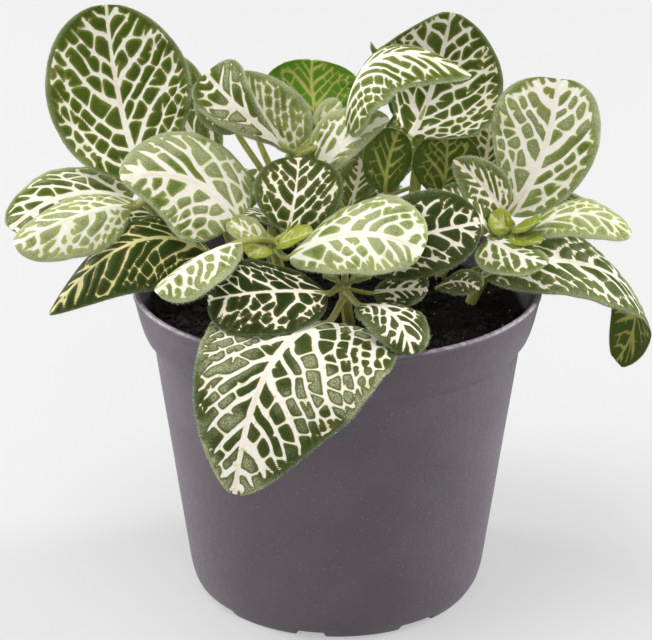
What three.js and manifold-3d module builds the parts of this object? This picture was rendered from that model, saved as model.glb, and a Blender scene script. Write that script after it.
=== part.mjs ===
// Potted nerve plant: nine leafy stems rooted in the peat of a plastic grower's pot.
// Millimetres, +Z up. The origin is on the pot's axis, on the surface that it stands on.
// The plant's best side faces -Y.

import * as THREE from "three";
import { mergeVertices } from "three/addons/utils/BufferGeometryUtils.js";
import Module from "manifold-3d";

const wasm = await Module();
wasm.setup();

// Driving dimensions of the pot
const potHeight = 96;
const rimRadius = 60;
const collarBottom = 80;
const collarBottomRadius = 54.8;
const wallTopRadius = 54.3;
const wallBottomRadius = 45;
const cornerHeight = 8;
const footOuterRadius = 42.5;
const footInnerRadius = 35.5;
const wallThickness = 1.4;
const rimThickness = 1.7;
const floorUnderside = 3;
const floorThickness = 1.6;
const floorTop = floorUnderside + floorThickness;
const potSides = 48;
const recessHeight = 2;
const drainHoleRadius = 3.6;
const drainRingRadius = 24;
const drainHoleCount = 6;
const drainHoleSides = 12;

// The recesses between the feet, as angles from the front in degrees, turning to the right
const footRecesses = [
  [-77, -46],
  [-16, -5],
  [26, 41],
  [68, 82],
  [113, 128],
  [158, 172],
  [204, 219],
  [248, 263],
];

// Driving dimensions of the soil
const soilLevel = 88.5;
const soilTilt = 2.6;
const soilGap = 0.4;
const soilSides = 32;
const soilRings = [0.25, 0.5, 0.75, 1];
const holeGap = 0.45;

// Driving dimensions of the plant
const bladeThickness = 0.7;
const stemRadius = 1.9;
const stemSides = 6;
const petioleRadius = 0.95;
const smallPetioleRadius = 0.6;
const petioleSides = 4;
const stemSteps = 4;
const petioleSteps = 3;

// A blade narrower than this, from rib to margin, takes the small grid and the thin stalk
const smallHalfWidth = 8.2;
const bladeGrid = { rows: 6, columns: 4 };
const smallBladeGrid = { rows: 4, columns: 2 };

// Where a blade begins and ends along its rib, as shares of the rib's length
const firstRow = 0.012;
const lastRow = 0.994;

// Corners nearer than this are one corner
const sharedCorner = 1e-4;

// Shapes

// Takes the positions of a geometry alone, shares equal corners and drops triangles that closed up
function solidOf(geometry) {
  const plain = geometry.clone();
  plain.deleteAttribute("normal");
  plain.deleteAttribute("uv");
  const merged = mergeVertices(plain, sharedCorner);
  const corners = merged.index.array;
  const kept = [];
  for (let i = 0; i < corners.length; i += 3) {
    const [a, b, c] = [corners[i], corners[i + 1], corners[i + 2]];
    if (a !== b && b !== c && c !== a) {
      kept.push(a, b, c);
    }
  }
  return solidFrom(merged.attributes.position.array, kept);
}

function solidFrom(positions, triangles) {
  const mesh = new wasm.Mesh({
    numProp: 3,
    vertProperties: Float32Array.from(positions),
    triVerts: Uint32Array.from(triangles),
  });
  return new wasm.Manifold(mesh);
}

function meshOf(solid, name, look) {
  const shape = solid.getMesh();
  const geometry = new THREE.BufferGeometry();
  geometry.setAttribute("position", new THREE.BufferAttribute(shape.vertProperties, 3));
  geometry.setIndex(new THREE.BufferAttribute(shape.triVerts, 1));
  geometry.computeVertexNormals();
  const mesh = new THREE.Mesh(geometry, new THREE.MeshStandardMaterial(look));
  mesh.name = name;
  return mesh;
}

// A tube of even radius along a smooth curve through the points
function tube(points, radius, sides, steps) {
  const section = [];
  for (let i = 0; i < sides; i += 1) {
    const angle = (i / sides) * Math.PI * 2;
    section.push(new THREE.Vector2(Math.cos(angle) * radius, Math.sin(angle) * radius));
  }
  const curve = new THREE.CatmullRomCurve3(points);
  const geometry = new THREE.ExtrudeGeometry(new THREE.Shape(section), {
    steps,
    extrudePath: curve,
    bevelEnabled: false,
  });
  return solidOf(geometry);
}

function lathe(profile, sides) {
  const points = profile.map(([r, z]) => new THREE.Vector2(r, z));
  const geometry = new THREE.LatheGeometry(points, sides);
  geometry.rotateX(Math.PI / 2);
  return solidOf(geometry);
}

// The pot

// Inner radius of the pot's wall at a height
function innerRadius(z) {
  const steps = [
    [floorTop, footOuterRadius - 0.8],
    [cornerHeight, wallBottomRadius - wallThickness],
    [collarBottom - 1, wallTopRadius - wallThickness],
    [potHeight, rimRadius - rimThickness],
  ];
  let radius = steps[0][1];
  for (let i = 1; i < steps.length; i += 1) {
    const [z0, r0] = steps[i - 1];
    const [z1, r1] = steps[i];
    if (z > z0) {
      radius = r0 + (r1 - r0) * Math.min(1, (z - z0) / (z1 - z0));
    }
  }
  return radius;
}

function buildPot() {
  const outer = [
    [0, floorUnderside],
    [footInnerRadius, floorUnderside],
    [footInnerRadius + 0.8, 0],
    [footOuterRadius - 1.2, 0],
    [footOuterRadius, 0.9],
    [footOuterRadius + 1.4, 3.4],
    [wallBottomRadius, cornerHeight],
    [wallTopRadius - 0.1, collarBottom - 1.2],
    [collarBottomRadius, collarBottom],
    [rimRadius - 3.6, potHeight - 14.2],
    [rimRadius - 1.6, potHeight - 9.5],
    [rimRadius - 0.4, potHeight - 4.5],
    [rimRadius, potHeight - 0.5],
    [rimRadius - 0.4, potHeight],
  ];
  const inner = [
    [rimRadius - rimThickness + 0.4, potHeight],
    [innerRadius(potHeight), potHeight - 0.6],
    [innerRadius(potHeight - 8) + 0.3, potHeight - 8],
    [innerRadius(collarBottom), collarBottom],
    [innerRadius(cornerHeight), cornerHeight],
    [innerRadius(floorTop), floorTop],
    [0, floorTop],
  ];
  let pot = lathe([...outer, ...inner], potSides);
  for (const [from, to] of footRecesses) {
    pot = pot.subtract(recess(from, to));
  }
  for (let i = 0; i < drainHoleCount; i += 1) {
    const angle = ((i + 0.5) / drainHoleCount) * Math.PI * 2;
    const depth = 4 * floorThickness;
    const hole = new THREE.CylinderGeometry(drainHoleRadius, drainHoleRadius, depth, drainHoleSides);
    hole.rotateX(Math.PI / 2);
    hole.translate(Math.cos(angle) * drainRingRadius, Math.sin(angle) * drainRingRadius, floorUnderside);
    pot = pot.subtract(solidOf(hole));
  }
  return pot;
}

// A wedge that clears the lowest part of the foot ring between two angles
function recess(from, to) {
  const inside = footInnerRadius - 6;
  const outside = footOuterRadius + 8;
  const below = 4;
  const turns = 3;
  const outline = [];
  for (let i = 0; i <= turns; i += 1) {
    outline.push(aroundFront(inside, from + ((to - from) * i) / turns));
  }
  for (let i = turns; i >= 0; i -= 1) {
    outline.push(aroundFront(outside, from + ((to - from) * i) / turns));
  }
  const wedge = new THREE.ExtrudeGeometry(new THREE.Shape(outline), {
    depth: recessHeight + below,
    bevelEnabled: false,
  });
  wedge.translate(0, 0, -below);
  return solidOf(wedge);
}

function aroundFront(radius, degrees) {
  const angle = THREE.MathUtils.degToRad(degrees - 90);
  return new THREE.Vector2(radius * Math.cos(angle), radius * Math.sin(angle));
}

// The soil

// Height of the peat: it climbs to the left front and is lumpy
function soilHeight(x, y) {
  const slope = (soilTilt * (-0.8 * x - 0.6 * y)) / rimRadius;
  const lumps = 0.7 * Math.sin(x * 0.19 + 1.2) * Math.cos(y * 0.17) + 0.5 * Math.sin(x * 0.37 - y * 0.31);
  return soilLevel + slope + lumps;
}

function buildSoil() {
  const sideHeights = [collarBottom, cornerHeight];
  const bottom = floorTop + soilGap;
  const positions = [0, 0, soilHeight(0, 0)];
  const topRadius = innerRadius(soilLevel - 5) - soilGap;
  const addRing = (radius, height) => {
    for (let i = 0; i < soilSides; i += 1) {
      const angle = (i / soilSides) * Math.PI * 2;
      const x = radius * Math.cos(angle);
      const y = radius * Math.sin(angle);
      positions.push(x, y, height(x, y));
    }
  };
  soilRings.forEach((part) => addRing(part * topRadius, soilHeight));
  sideHeights.forEach((z) => addRing(innerRadius(z) - soilGap - 0.2, () => z));
  addRing(innerRadius(bottom) - soilGap - 0.4, () => bottom);
  const ringCount = soilRings.length + sideHeights.length + 1;
  const last = positions.length / 3;
  positions.push(0, 0, bottom);
  const triangles = [];
  for (let i = 0; i < soilSides; i += 1) {
    const next = (i + 1) % soilSides;
    triangles.push(0, 1 + i, 1 + next);
    for (let ring = 0; ring < ringCount - 1; ring += 1) {
      const here = 1 + ring * soilSides;
      const below = here + soilSides;
      triangles.push(here + i, below + i, below + next, here + i, below + next, here + next);
    }
    const lowest = 1 + (ringCount - 1) * soilSides;
    triangles.push(lowest + i, last, lowest + next);
  }
  return solidFrom(positions, triangles);
}

// The leaves

const at = (list) => new THREE.Vector3(...list);

// Smooth curve through three or four evenly spaced points: each point's weight is 1 at its own place
function alongRib(points, u) {
  const last = points.length - 1;
  const sum = new THREE.Vector3();
  for (let i = 0; i <= last; i += 1) {
    let weight = 1;
    for (let j = 0; j <= last; j += 1) {
      if (j !== i) {
        weight *= (u * last - j) / (i - j);
      }
    }
    sum.addScaledVector(at(points[i]), weight);
  }
  return sum;
}

// Share of the greatest half width at a place along the rib, from its rise and its taper
function outlineShare(u, rise, taper) {
  const peak = rise / (rise + taper);
  return (u ** rise * (1 - u) ** taper) / (peak ** rise * (1 - peak) ** taper);
}

// Directions at a place along a leaf: along the rib, across to the right and out of the upper face
function leafFrame(leaf, u) {
  const step = 0.001;
  const along = (a, b) => alongRib(leaf.rib, b).sub(alongRib(leaf.rib, a)).normalize();
  const middle = along(0.45, 0.55);
  const side = leaf.side ? at(leaf.side).normalize() : middle.cross(at(leaf.face)).normalize();
  const forward = along(Math.max(0, u - step), Math.min(1, u + step));
  const across = side.addScaledVector(forward, -(leaf.square ?? 1) * forward.dot(side)).normalize();
  const up = across.clone().cross(forward).normalize();
  return { forward, across, up };
}

// Point of a leaf's upper face: u runs along the rib, v across it from the left margin to the right.
// Each half leaves the rib at its fold angle and keeps turning by its curl up to the margin.
function leafPoint(leaf, u, v) {
  const { across, up } = leafFrame(leaf, u);
  const half = v < 0 ? 0 : 1;
  const [riseLeft, taperLeft, riseRight, taperRight] = leaf.full ?? [0.55, 0.45, 0.55, 0.45];
  const [rise, taper] = half === 0 ? [riseLeft, taperLeft] : [riseRight, taperRight];
  const share = outlineShare(u, rise, taper);
  const width = leaf.wide[half] * share;
  const fold = THREE.MathUtils.degToRad((leaf.fold ?? [8, 8])[half]);
  const curl = THREE.MathUtils.degToRad((leaf.curl ?? [-20, -20])[half]);
  const t = Math.abs(v);
  const out = (Math.sin(fold + curl * t) - Math.sin(fold)) / curl;
  const lift = (Math.cos(fold) - Math.cos(fold + curl * t)) / curl;
  return alongRib(leaf.rib, u)
    .addScaledVector(across, Math.sign(v) * out * width)
    .addScaledVector(up, lift * width);
}

const isSmall = (leaf) => Math.max(...leaf.wide) < smallHalfWidth;

// A leaf blade: a grid of points on the upper face, the same grid lower by the thickness, and the edge
function blade(leaf) {
  const { rows, columns } = isSmall(leaf) ? smallBladeGrid : bladeGrid;
  const positions = [];
  const top = [];
  for (let i = 0; i <= rows; i += 1) {
    const u = firstRow + ((lastRow - firstRow) * (1 - Math.cos((Math.PI * i) / rows))) / 2;
    top.push([]);
    for (let j = 0; j <= columns; j += 1) {
      top[i].push(leafPoint(leaf, u, -1 + (2 * j) / columns));
    }
  }
  const normalAt = (i, j) => {
    const ahead = top[Math.min(rows, i + 1)][j].clone().sub(top[Math.max(0, i - 1)][j]);
    const right = top[i][Math.min(columns, j + 1)].clone().sub(top[i][Math.max(0, j - 1)]);
    return right.cross(ahead).normalize();
  };
  const stride = columns + 1;
  const layer = (rows + 1) * stride;
  top.forEach((row) => row.forEach((point) => positions.push(point.x, point.y, point.z)));
  top.forEach((row, i) => row.forEach((point, j) => {
    const low = point.clone().addScaledVector(normalAt(i, j), -bladeThickness);
    positions.push(low.x, low.y, low.z);
  }));
  const triangles = [];
  for (let i = 0; i < rows; i += 1) {
    for (let j = 0; j < columns; j += 1) {
      const a = i * stride + j;
      const [b, c, d] = [a + 1, a + stride + 1, a + stride];
      triangles.push(a, b, c, a, c, d);
      triangles.push(a + layer, c + layer, b + layer, a + layer, d + layer, c + layer);
    }
  }
  const edge = [];
  for (let j = 0; j < columns; j += 1) {
    edge.push(j);
  }
  for (let i = 0; i < rows; i += 1) {
    edge.push(i * stride + columns);
  }
  for (let j = columns; j > 0; j -= 1) {
    edge.push(rows * stride + j);
  }
  for (let i = rows; i > 0; i -= 1) {
    edge.push(i * stride);
  }
  edge.forEach((a, k) => {
    const b = edge[(k + 1) % edge.length];
    triangles.push(a, a + layer, b + layer, a, b + layer, b);
  });
  return solidFrom(positions, triangles);
}

// The leaf's stalk: from the stem to the blade, then on under the blade as the start of the midrib
function petiole(leaf, stem) {
  const radius = isSmall(leaf) ? smallPetioleRadius : petioleRadius;
  const join = leaf.join ?? 0;
  const start = alongRib(stem.path, leaf.at);
  const under = (u) => alongRib(leaf.rib, u).addScaledVector(leafFrame(leaf, u).up, -radius * 0.55);
  const end = under(join);
  const span = end.distanceTo(start);
  const above = alongRib(stem.path, Math.min(1, leaf.at + 0.02));
  const stemWay = above.sub(alongRib(stem.path, leaf.at - 0.02)).normalize();
  const leafWay = leafFrame(leaf, join).forward;
  const leaving = start.clone().addScaledVector(stemWay, span * 0.22);
  const arriving = end.clone().addScaledVector(leafWay, -span * 0.3);
  const bend = leaving.lerp(arriving, 0.5);
  const points = [start, bend, end, under(join + 0.1)];
  return tube(points, radius, petioleSides, petioleSteps);
}

function buildShoot(stem) {
  const stalk = stem.path.map(at);
  let shoot = tube(stalk, stemRadius, stemSides, stemSteps);
  for (const leaf of stem.leaves) {
    shoot = shoot.add(petiole(leaf, stem)).add(blade(leaf));
  }
  return shoot;
}

// The hole that a stem stands in
function stemHole(stem) {
  const [first, ...others] = stem.path.map(at);
  const deeper = first.clone().sub(others[0]).setLength(holeGap).add(first);
  return tube([deeper, first, ...others], stemRadius + holeGap, stemSides, stemSteps + 1);
}

// The leafy stems, each by the path of its stalk. "at" is where along the stalk a leaf springs from. Its
// rib runs from the blade's base over its middle to its tip. "face" is the direction that the upper side
// looks in, or "side" the direction of its right margin; "wide" gives the half widths left and right.
const shoots = [
  {
    name: "left_shoot",
    path: [[-36, 4, 78], [-47, 5, 104], [-57, 5, 120]],
    leaves: [
      { at: 0.97, rib: [[-57, 8, 125], [-64, 20, 145], [-67, 22, 173]], face: [0, -1, 0.1],
        wide: [21, 22], curl: [-12, -12], full: [0.6, 0.5, 0.6, 0.5] },
      { at: 0.93, rib: [[-60, 9, 117], [-78, 6.5, 120], [-94.6, -4, 113]], face: [-0.2, -0.6, 0.8],
        wide: [13, 13], fold: [4, 2], curl: [-25, -25], full: [0.6, 0.45, 0.36, 0.5] },
      { at: 0.9, rib: [[-59, -7, 121], [-72, -13, 121], [-92, -17, 113]], face: [-0.2, -0.6, 0.8],
        wide: [12, 11], fold: [-20, -10], curl: [-35, -25], full: [0.5, 0.42, 0.5, 0.42] },
    ],
  },
  {
    name: "centre_shoot",
    path: [[-12, -6, 78], [-16, -9, 98], [-18, -12, 112]],
    leaves: [
      { at: 0.95, rib: [[-28, -12, 118], [-42, -13, 131], [-61, -18, 133]], face: [0, -0.8, 0.75],
        wide: [16.5, 17], fold: [-4, -4], curl: [-20, -16], full: [0.3, 0.68, 0.33, 0.58] },
      { at: 0.97, rib: [[-14, -12, 115.5], [-12, -8, 125.5], [-11, 0, 133.6]], face: [-0.1, -0.9, 0.6],
        wide: [12.2, 13.6], fold: [10, 8], curl: [-18, -18], full: [0.5, 0.42, 0.5, 0.42] },
      { at: 0.86, rib: [[-14, -21, 111], [5, -33, 122], [23.5, -38, 118.5]], face: [0.1, -0.6, 0.85],
        wide: [16, 12], fold: [10, -6], curl: [-35, -30], full: [0.8, 0.42, 0.5, 0.42] },
      { at: 0.86, rib: [[-27, -27, 118], [-38, -45, 119.3], [-49, -54, 112.6]],
        face: [-0.3, -0.45, 0.9], wide: [10, 9], fold: [-10, -20], curl: [-35, -40],
        full: [0.65, 0.42, 0.65, 0.35] },
      { at: 0.6, rib: [[-35, -13, 108], [-58, -15, 113], [-84, -11, 89]], face: [-0.2, -0.75, 0.65],
        wide: [15, 11], fold: [-6, -14], curl: [-30, -35], full: [0.6, 0.8, 0.6, 0.75] },
      { at: 1, rib: [[-20, -14, 112], [-25, -15, 116], [-31, -13, 119]], face: [0, -0.5, 0.9],
        wide: [5, 5], fold: [20, 20], curl: [-30, -30] },
      { at: 1, rib: [[-17, -14, 112], [-12, -17, 115], [-7, -20, 118]], face: [0, -0.4, 1],
        wide: [5.2, 5.2], fold: [25, 25], curl: [-30, -30], full: [0.5, 0.7, 0.5, 0.7] },
      { at: 0.98, rib: [[-20, -16, 112], [-22, -20, 113], [-25, -24, 112]], face: [0, -0.6, 0.8],
        wide: [4, 4], fold: [20, 20], curl: [-30, -30] },
    ],
  },
  {
    name: "front_shoot",
    path: [[6, -16, 78], [3, -20, 92], [2, -22, 103]],
    leaves: [
      { at: 0.93, rib: [[-3, -33, 104.6], [-19, -45.5, 109.8], [-35.8, -46.5, 107.6]],
        face: [0, -0.6, 0.8], wide: [13.5, 12.8], fold: [6, -1], curl: [-25, -20],
        full: [0.55, 0.42, 0.6, 0.42] },
      { at: 0.97, rib: [[4, -21, 110], [22, -24, 118], [40, -24, 122]], face: [0.15, -0.85, 0.55],
        wide: [12.5, 12], fold: [6, 6], curl: [-18, -18], full: [0.55, 0.48, 0.55, 0.48] },
      { at: 0.7, rib: [[-3, -36, 97.3], [-19, -66, 94.8], [-28, -70, 60]], side: [-0.97, 0.2, 0.06],
        wide: [29, 23], fold: [3, 3], curl: [-12, -12], full: [0.25, 0.6, 0.2, 0.6] },
      { at: 0.8, rib: [[7, -34, 101.5], [15, -48, 104], [20, -59, 97]], face: [0.35, -0.7, 0.6],
        wide: [9, 9], curl: [-35, -35], full: [0.5, 0.42, 0.5, 0.42] },
      { at: 0.85, rib: [[10, -26, 102], [18, -29, 104], [25, -32, 105]], face: [0.1, -0.6, 0.8],
        wide: [6, 6] },
      { at: 1, rib: [[1, -24, 104], [-1, -28, 107], [-4, -31, 109]], face: [0, -0.6, 0.8],
        wide: [2.6, 2.6], fold: [25, 25] },
      { at: 1, rib: [[3, -24, 104], [6, -27, 107], [9, -30, 108]], face: [0, -0.6, 0.8],
        wide: [2.6, 2.6], fold: [25, 25] },
    ],
  },
  {
    name: "right_shoot",
    path: [[34, 0, 78], [44, 1, 98], [51, 1, 112]],
    leaves: [
      { at: 0.97, rib: [[50, 4, 114.5], [59.6, 8, 131.6], [64.3, 15.3, 152.8]], face: [0, -1, 0.25],
        wide: [17.5, 15], fold: [12, 6], curl: [-12, -12], full: [0.85, 0.36, 0.7, 0.4] },
      { at: 0.95, rib: [[54, -1, 110], [69, -4, 118], [85, -6, 112]], face: [0.1, -0.4, 0.9],
        wide: [9, 8], fold: [-4, -8], curl: [-20, -25] },
      { at: 1, rib: [[48, -2, 117], [42, -4, 126], [33, -4, 134]], face: [0.1, -0.9, 0.4],
        wide: [6.7, 7], fold: [10, 10], curl: [-15, -15], full: [0.5, 0.62, 0.5, 0.62] },
      { at: 0.9, rib: [[44, -4, 110.5], [49.8, -14, 110], [59, -23, 109.5]], face: [0.2, -0.55, 0.8],
        wide: [7.5, 10], fold: [4, 0], curl: [-30, -30], full: [0.5, 0.55, 0.5, 0.55] },
      { at: 0.6, rib: [[41, -16, 103], [63, -8, 105], [86, 4, 92], [85, 12, 64]],
        side: [0.55, -0.7, -0.45], wide: [15, 13], fold: [12, -8], curl: [-25, -20] },
      { at: 0.5, rib: [[29, -16, 100], [35, -20, 103], [40, -24, 102]], face: [0.1, -0.6, 0.8],
        wide: [5, 5] },
      { at: 0.6, rib: [[56, 16, 100], [75, 23, 99], [95, 28, 74]], face: [0.2, 0, 0.9], wide: [11, 11],
        curl: [-25, -25] },
      { at: 0.9, rib: [[44, -5, 113], [38, -8, 121], [30, -6, 126]], face: [0, -0.6, 0.8], wide: [7, 7],
        curl: [-30, -30] },
      { at: 1, rib: [[51, -1, 112], [55, -5, 114], [58, -8, 117]], face: [-0.4, -0.2, 1], wide: [4, 4],
        fold: [25, 25], curl: [-20, -20] },
      { at: 1, rib: [[50, -2, 112], [47, -4, 115], [44, -5, 118]], face: [0, -0.8, 0.5], wide: [4, 4],
        fold: [20, 20], curl: [-20, -20] },
      { at: 1, rib: [[51, -3, 111], [54, -8, 111], [58, -12, 112]], face: [0.2, -0.5, 0.8],
        wide: [4.4, 4.4], fold: [20, 20], curl: [-20, -20] },
    ],
  },
  {
    name: "middle_shoot",
    path: [[-17, 12, 78], [-19, 10, 108], [-13, 8, 132]],
    leaves: [
      { at: 0.97, rib: [[-14, 4, 134.4], [-26.4, 0, 146.5], [-37.5, 2, 158]], face: [0.1, -0.85, 0.45],
        wide: [8.6, 9.2], fold: [-4, 10], curl: [-30, -20], full: [1.1, 0.3, 2, 0.34] },
      { at: 1, rib: [[-13.7, 9, 132], [-21.4, 10, 143.7], [-28, 12, 155.6]], face: [-0.15, -0.9, 0.3],
        wide: [3.8, 12.2], fold: [20, 4], curl: [-15, -15], full: [0.5, 0.5, 0.32, 0.66] },
      { at: 0.95, rib: [[-5, 22, 137], [-7.3, 26, 145], [-7.3, 26, 155.5]], face: [0, 1, -0.1],
        wide: [14.5, 14.5], fold: [4, 4], curl: [-15, -15], full: [0.5, 0.4, 0.5, 0.4] },
      { at: 0.85, rib: [[-5, 6, 128.5], [4, 2, 138.5], [15, 3, 144]], face: [-0.15, -0.8, 0.6],
        wide: [10.8, 5], fold: [8, 4], full: [0.25, 0.6, 0.3, 0.7] },
      { at: 0.97, rib: [[-6, 14, 138], [-3, 14, 142], [1, 14, 146]], face: [0, -0.7, 0.7],
        wide: [4, 4] },
      { at: 0.9, rib: [[2, 7, 141], [12, -3, 164], [38, -5, 159]], face: [-0.1, -0.55, 0.8],
        wide: [7.6, 14.5], fold: [-14, -2], curl: [-30, -30], full: [0.5, 0.6, 0.3, 0.62] },
      { at: 0.45, rib: [[-13, 14, 102], [-22, 15, 111], [-32, 13, 110]], face: [0, 0.1, 1],
        wide: [8, 8], curl: [-25, -25] },
      { at: 0.45, rib: [[0, 4, 101], [9, -4, 109], [20, -9, 109]], face: [0, -0.1, 1], wide: [8, 8],
        curl: [-25, -25] },
      { at: 0.6, rib: [[4, 18, 113], [6, 20, 119], [7, 22, 126]], face: [0, -1, 0.2], wide: [6, 6],
        curl: [-15, -15] },
      { at: 0.62, rib: [[-29, 9, 138], [-33, 10, 146], [-36, 12, 153]], face: [0, -0.9, 0.4],
        wide: [8.3, 8.3] },
      { at: 0.7, rib: [[-23.5, 11, 138], [-25, 14, 144], [-27, 16, 149]], face: [0, -0.9, 0.4],
        wide: [8.3, 8.3] },
    ],
  },
  {
    name: "high_shoot",
    path: [[20, 15, 78], [22, 14, 106], [24, 13, 132]],
    leaves: [
      { at: 1, join: 0.2, rib: [[21, 0, 140], [28, 20, 149], [33, 20, 171]], face: [0.05, -1, 0.3],
        wide: [28.5, 21], fold: [14, 4], curl: [46, 20], full: [0.35, 0.45, 0.42, 0.45] },
      { at: 0.82, rib: [[31, 12, 118], [32, 12, 127], [32, 12, 137]], face: [0, 1, 0], wide: [10, 10],
        fold: [4, 4], curl: [-15, -15], full: [0.5, 0.4, 0.5, 0.4] },
      { at: 0.45, rib: [[23, 6, 98], [23, -2, 104], [24, -9, 103]], face: [0.1, -0.2, 1], wide: [7, 7],
        curl: [-25, -25] },
      { at: 0.5, rib: [[19, 19, 103], [23, 25, 111], [29, 28, 110]], face: [0, 0.2, 1], wide: [9, 9],
        curl: [-25, -25] },
      { at: 0.75, rib: [[14, 12, 119], [15, 14, 128], [18, 16, 137]], face: [-0.2, 1, 0], wide: [7, 8],
        fold: [10, 10] },
    ],
  },
  {
    name: "back_left_shoot",
    path: [[-24, 22, 78], [-32, 28, 97], [-38, 31, 114]],
    leaves: [
      { at: 0.95, rib: [[-42, 31, 112], [-60, 42, 117], [-80, 50, 106]], face: [-0.3, 0.4, 0.85],
        wide: [14, 14], curl: [-25, -25] },
      { at: 0.75, rib: [[-28, 38, 108], [-34, 54, 112], [-40, 68, 96]], face: [-0.15, 0.6, 0.8],
        wide: [14, 14], curl: [-25, -25], full: [0.5, 0.5, 0.5, 0.5] },
      { at: 1, rib: [[-38, 34, 119], [-48, 42, 135], [-56, 46, 152]], face: [0.3, -0.8, 0.3],
        wide: [12, 12] },
      { at: 0.7, rib: [[-46, 20, 104], [-66, 26, 108], [-88, 24, 96]], face: [-0.3, 0.1, 0.9],
        wide: [12, 12], curl: [-25, -25] },
      { at: 0.9, rib: [[-33, 30, 106], [-31, 37, 112], [-30, 43, 116]], face: [0, 0.9, 0.3],
        wide: [8.3, 8.3] },
    ],
  },
  {
    name: "back_shoot",
    path: [[0, 27, 78], [0, 33, 98], [-2, 35, 117]],
    leaves: [
      { at: 0.6, rib: [[2, 42, 103], [4, 62, 104], [4, 74, 82]], face: [0, 0.8, 0.6], wide: [17, 17],
        curl: [-20, -20], full: [0.45, 0.6, 0.45, 0.6] },
      { at: 0.92, rib: [[11, 38, 112], [19, 46, 123], [28, 52, 130]], face: [0.2, 0.7, 0.6],
        wide: [13, 13], curl: [-25, -25] },
      { at: 0.92, rib: [[-5, 40, 111], [-9, 52, 115], [-15, 64, 110]], face: [-0.1, 0.4, 0.9],
        wide: [12, 12], curl: [-25, -25] },
      { at: 0.85, rib: [[4, 32, 106], [9, 36, 114], [13, 40, 124]], face: [0, -0.8, 0.4],
        wide: [10, 10] },
      { at: 1, rib: [[-3, 38, 120], [-6, 43, 132], [-7, 47, 143]], face: [0, 0.8, 0.4], wide: [11, 11],
        curl: [-15, -15] },
    ],
  },
  {
    name: "back_right_shoot",
    path: [[28, 24, 78], [36, 27, 99], [41, 29, 115]],
    leaves: [
      { at: 0.95, rib: [[45, 31, 109], [62, 42, 111], [80, 48, 98]], face: [0.3, 0.4, 0.85],
        wide: [13, 13], curl: [-25, -25] },
      { at: 0.7, rib: [[34, 40, 105], [44, 56, 108], [52, 69, 91]], face: [0.3, 0.7, 0.7],
        wide: [13, 13], curl: [-25, -25], full: [0.5, 0.5, 0.5, 0.5] },
      { at: 1, rib: [[46, 30, 116], [54, 33, 130], [60, 34, 142]], face: [-0.1, -0.9, 0.3],
        wide: [12, 12] },
      { at: 0.97, rib: [[44, 25, 120], [45, 26, 128], [46, 28, 136]], face: [0, -1, 0.2], wide: [8, 8],
        curl: [-15, -15] },
      { at: 0.9, rib: [[35, 33, 116], [35, 40, 132], [37, 44, 148]], face: [0.1, 0.9, 0.4],
        wide: [13, 13], curl: [-15, -15] },
    ],
  },
];

const plastic = { color: 0x837787, roughness: 0.5, metalness: 0 };
const peat = { color: 0x2a1d17, roughness: 0.95, metalness: 0 };
const leafGreen = { color: 0x5d8244, roughness: 0.55, metalness: 0 };

const plant = new THREE.Group();
plant.add(meshOf(buildPot(), "pot", plastic));

let soil = buildSoil();
for (const stem of shoots) {
  soil = soil.subtract(stemHole(stem));
}
plant.add(meshOf(soil, "soil", peat));

for (const stem of shoots) {
  plant.add(meshOf(buildShoot(stem), stem.name, leafGreen));
}

export default plant;
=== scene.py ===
"""Potted nerve plant: nine leafy stems with netted leaves, peat with crumbs and fibres, and a grower's pot.

Shapes are worked out in millimetres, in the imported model's frame, and written to the meshes in metres.
"""

from typing import NamedTuple

import bpy
import numpy as np
from bpy.props import FloatProperty, FloatVectorProperty, IntProperty, PointerProperty
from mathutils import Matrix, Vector


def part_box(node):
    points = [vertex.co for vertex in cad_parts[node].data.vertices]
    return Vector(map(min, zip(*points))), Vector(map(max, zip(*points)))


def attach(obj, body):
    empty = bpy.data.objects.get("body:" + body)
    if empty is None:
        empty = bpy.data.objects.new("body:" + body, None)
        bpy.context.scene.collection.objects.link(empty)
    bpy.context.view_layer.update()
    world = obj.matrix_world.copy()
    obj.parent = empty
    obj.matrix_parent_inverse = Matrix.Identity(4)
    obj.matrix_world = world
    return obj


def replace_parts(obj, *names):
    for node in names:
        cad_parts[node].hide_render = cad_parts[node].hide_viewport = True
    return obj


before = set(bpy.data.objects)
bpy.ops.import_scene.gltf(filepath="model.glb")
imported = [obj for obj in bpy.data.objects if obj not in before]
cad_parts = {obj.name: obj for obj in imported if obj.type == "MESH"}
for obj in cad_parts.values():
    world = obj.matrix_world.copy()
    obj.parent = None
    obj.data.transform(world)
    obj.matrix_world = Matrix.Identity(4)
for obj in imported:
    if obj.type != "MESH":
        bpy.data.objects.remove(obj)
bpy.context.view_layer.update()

bl_info = {
    "name": "Potted Nerve Plant",
    "version": (1, 0, 0),
    "blender": (4, 5, 0),
    "location": "View3D > Sidebar > Nerve Plant",
    "description": "Adds a potted nerve plant with netted leaves, its peat, its pot and a plain stage",
    "category": "Add Mesh",
}

MM = 0.001
BODY = "root"


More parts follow.
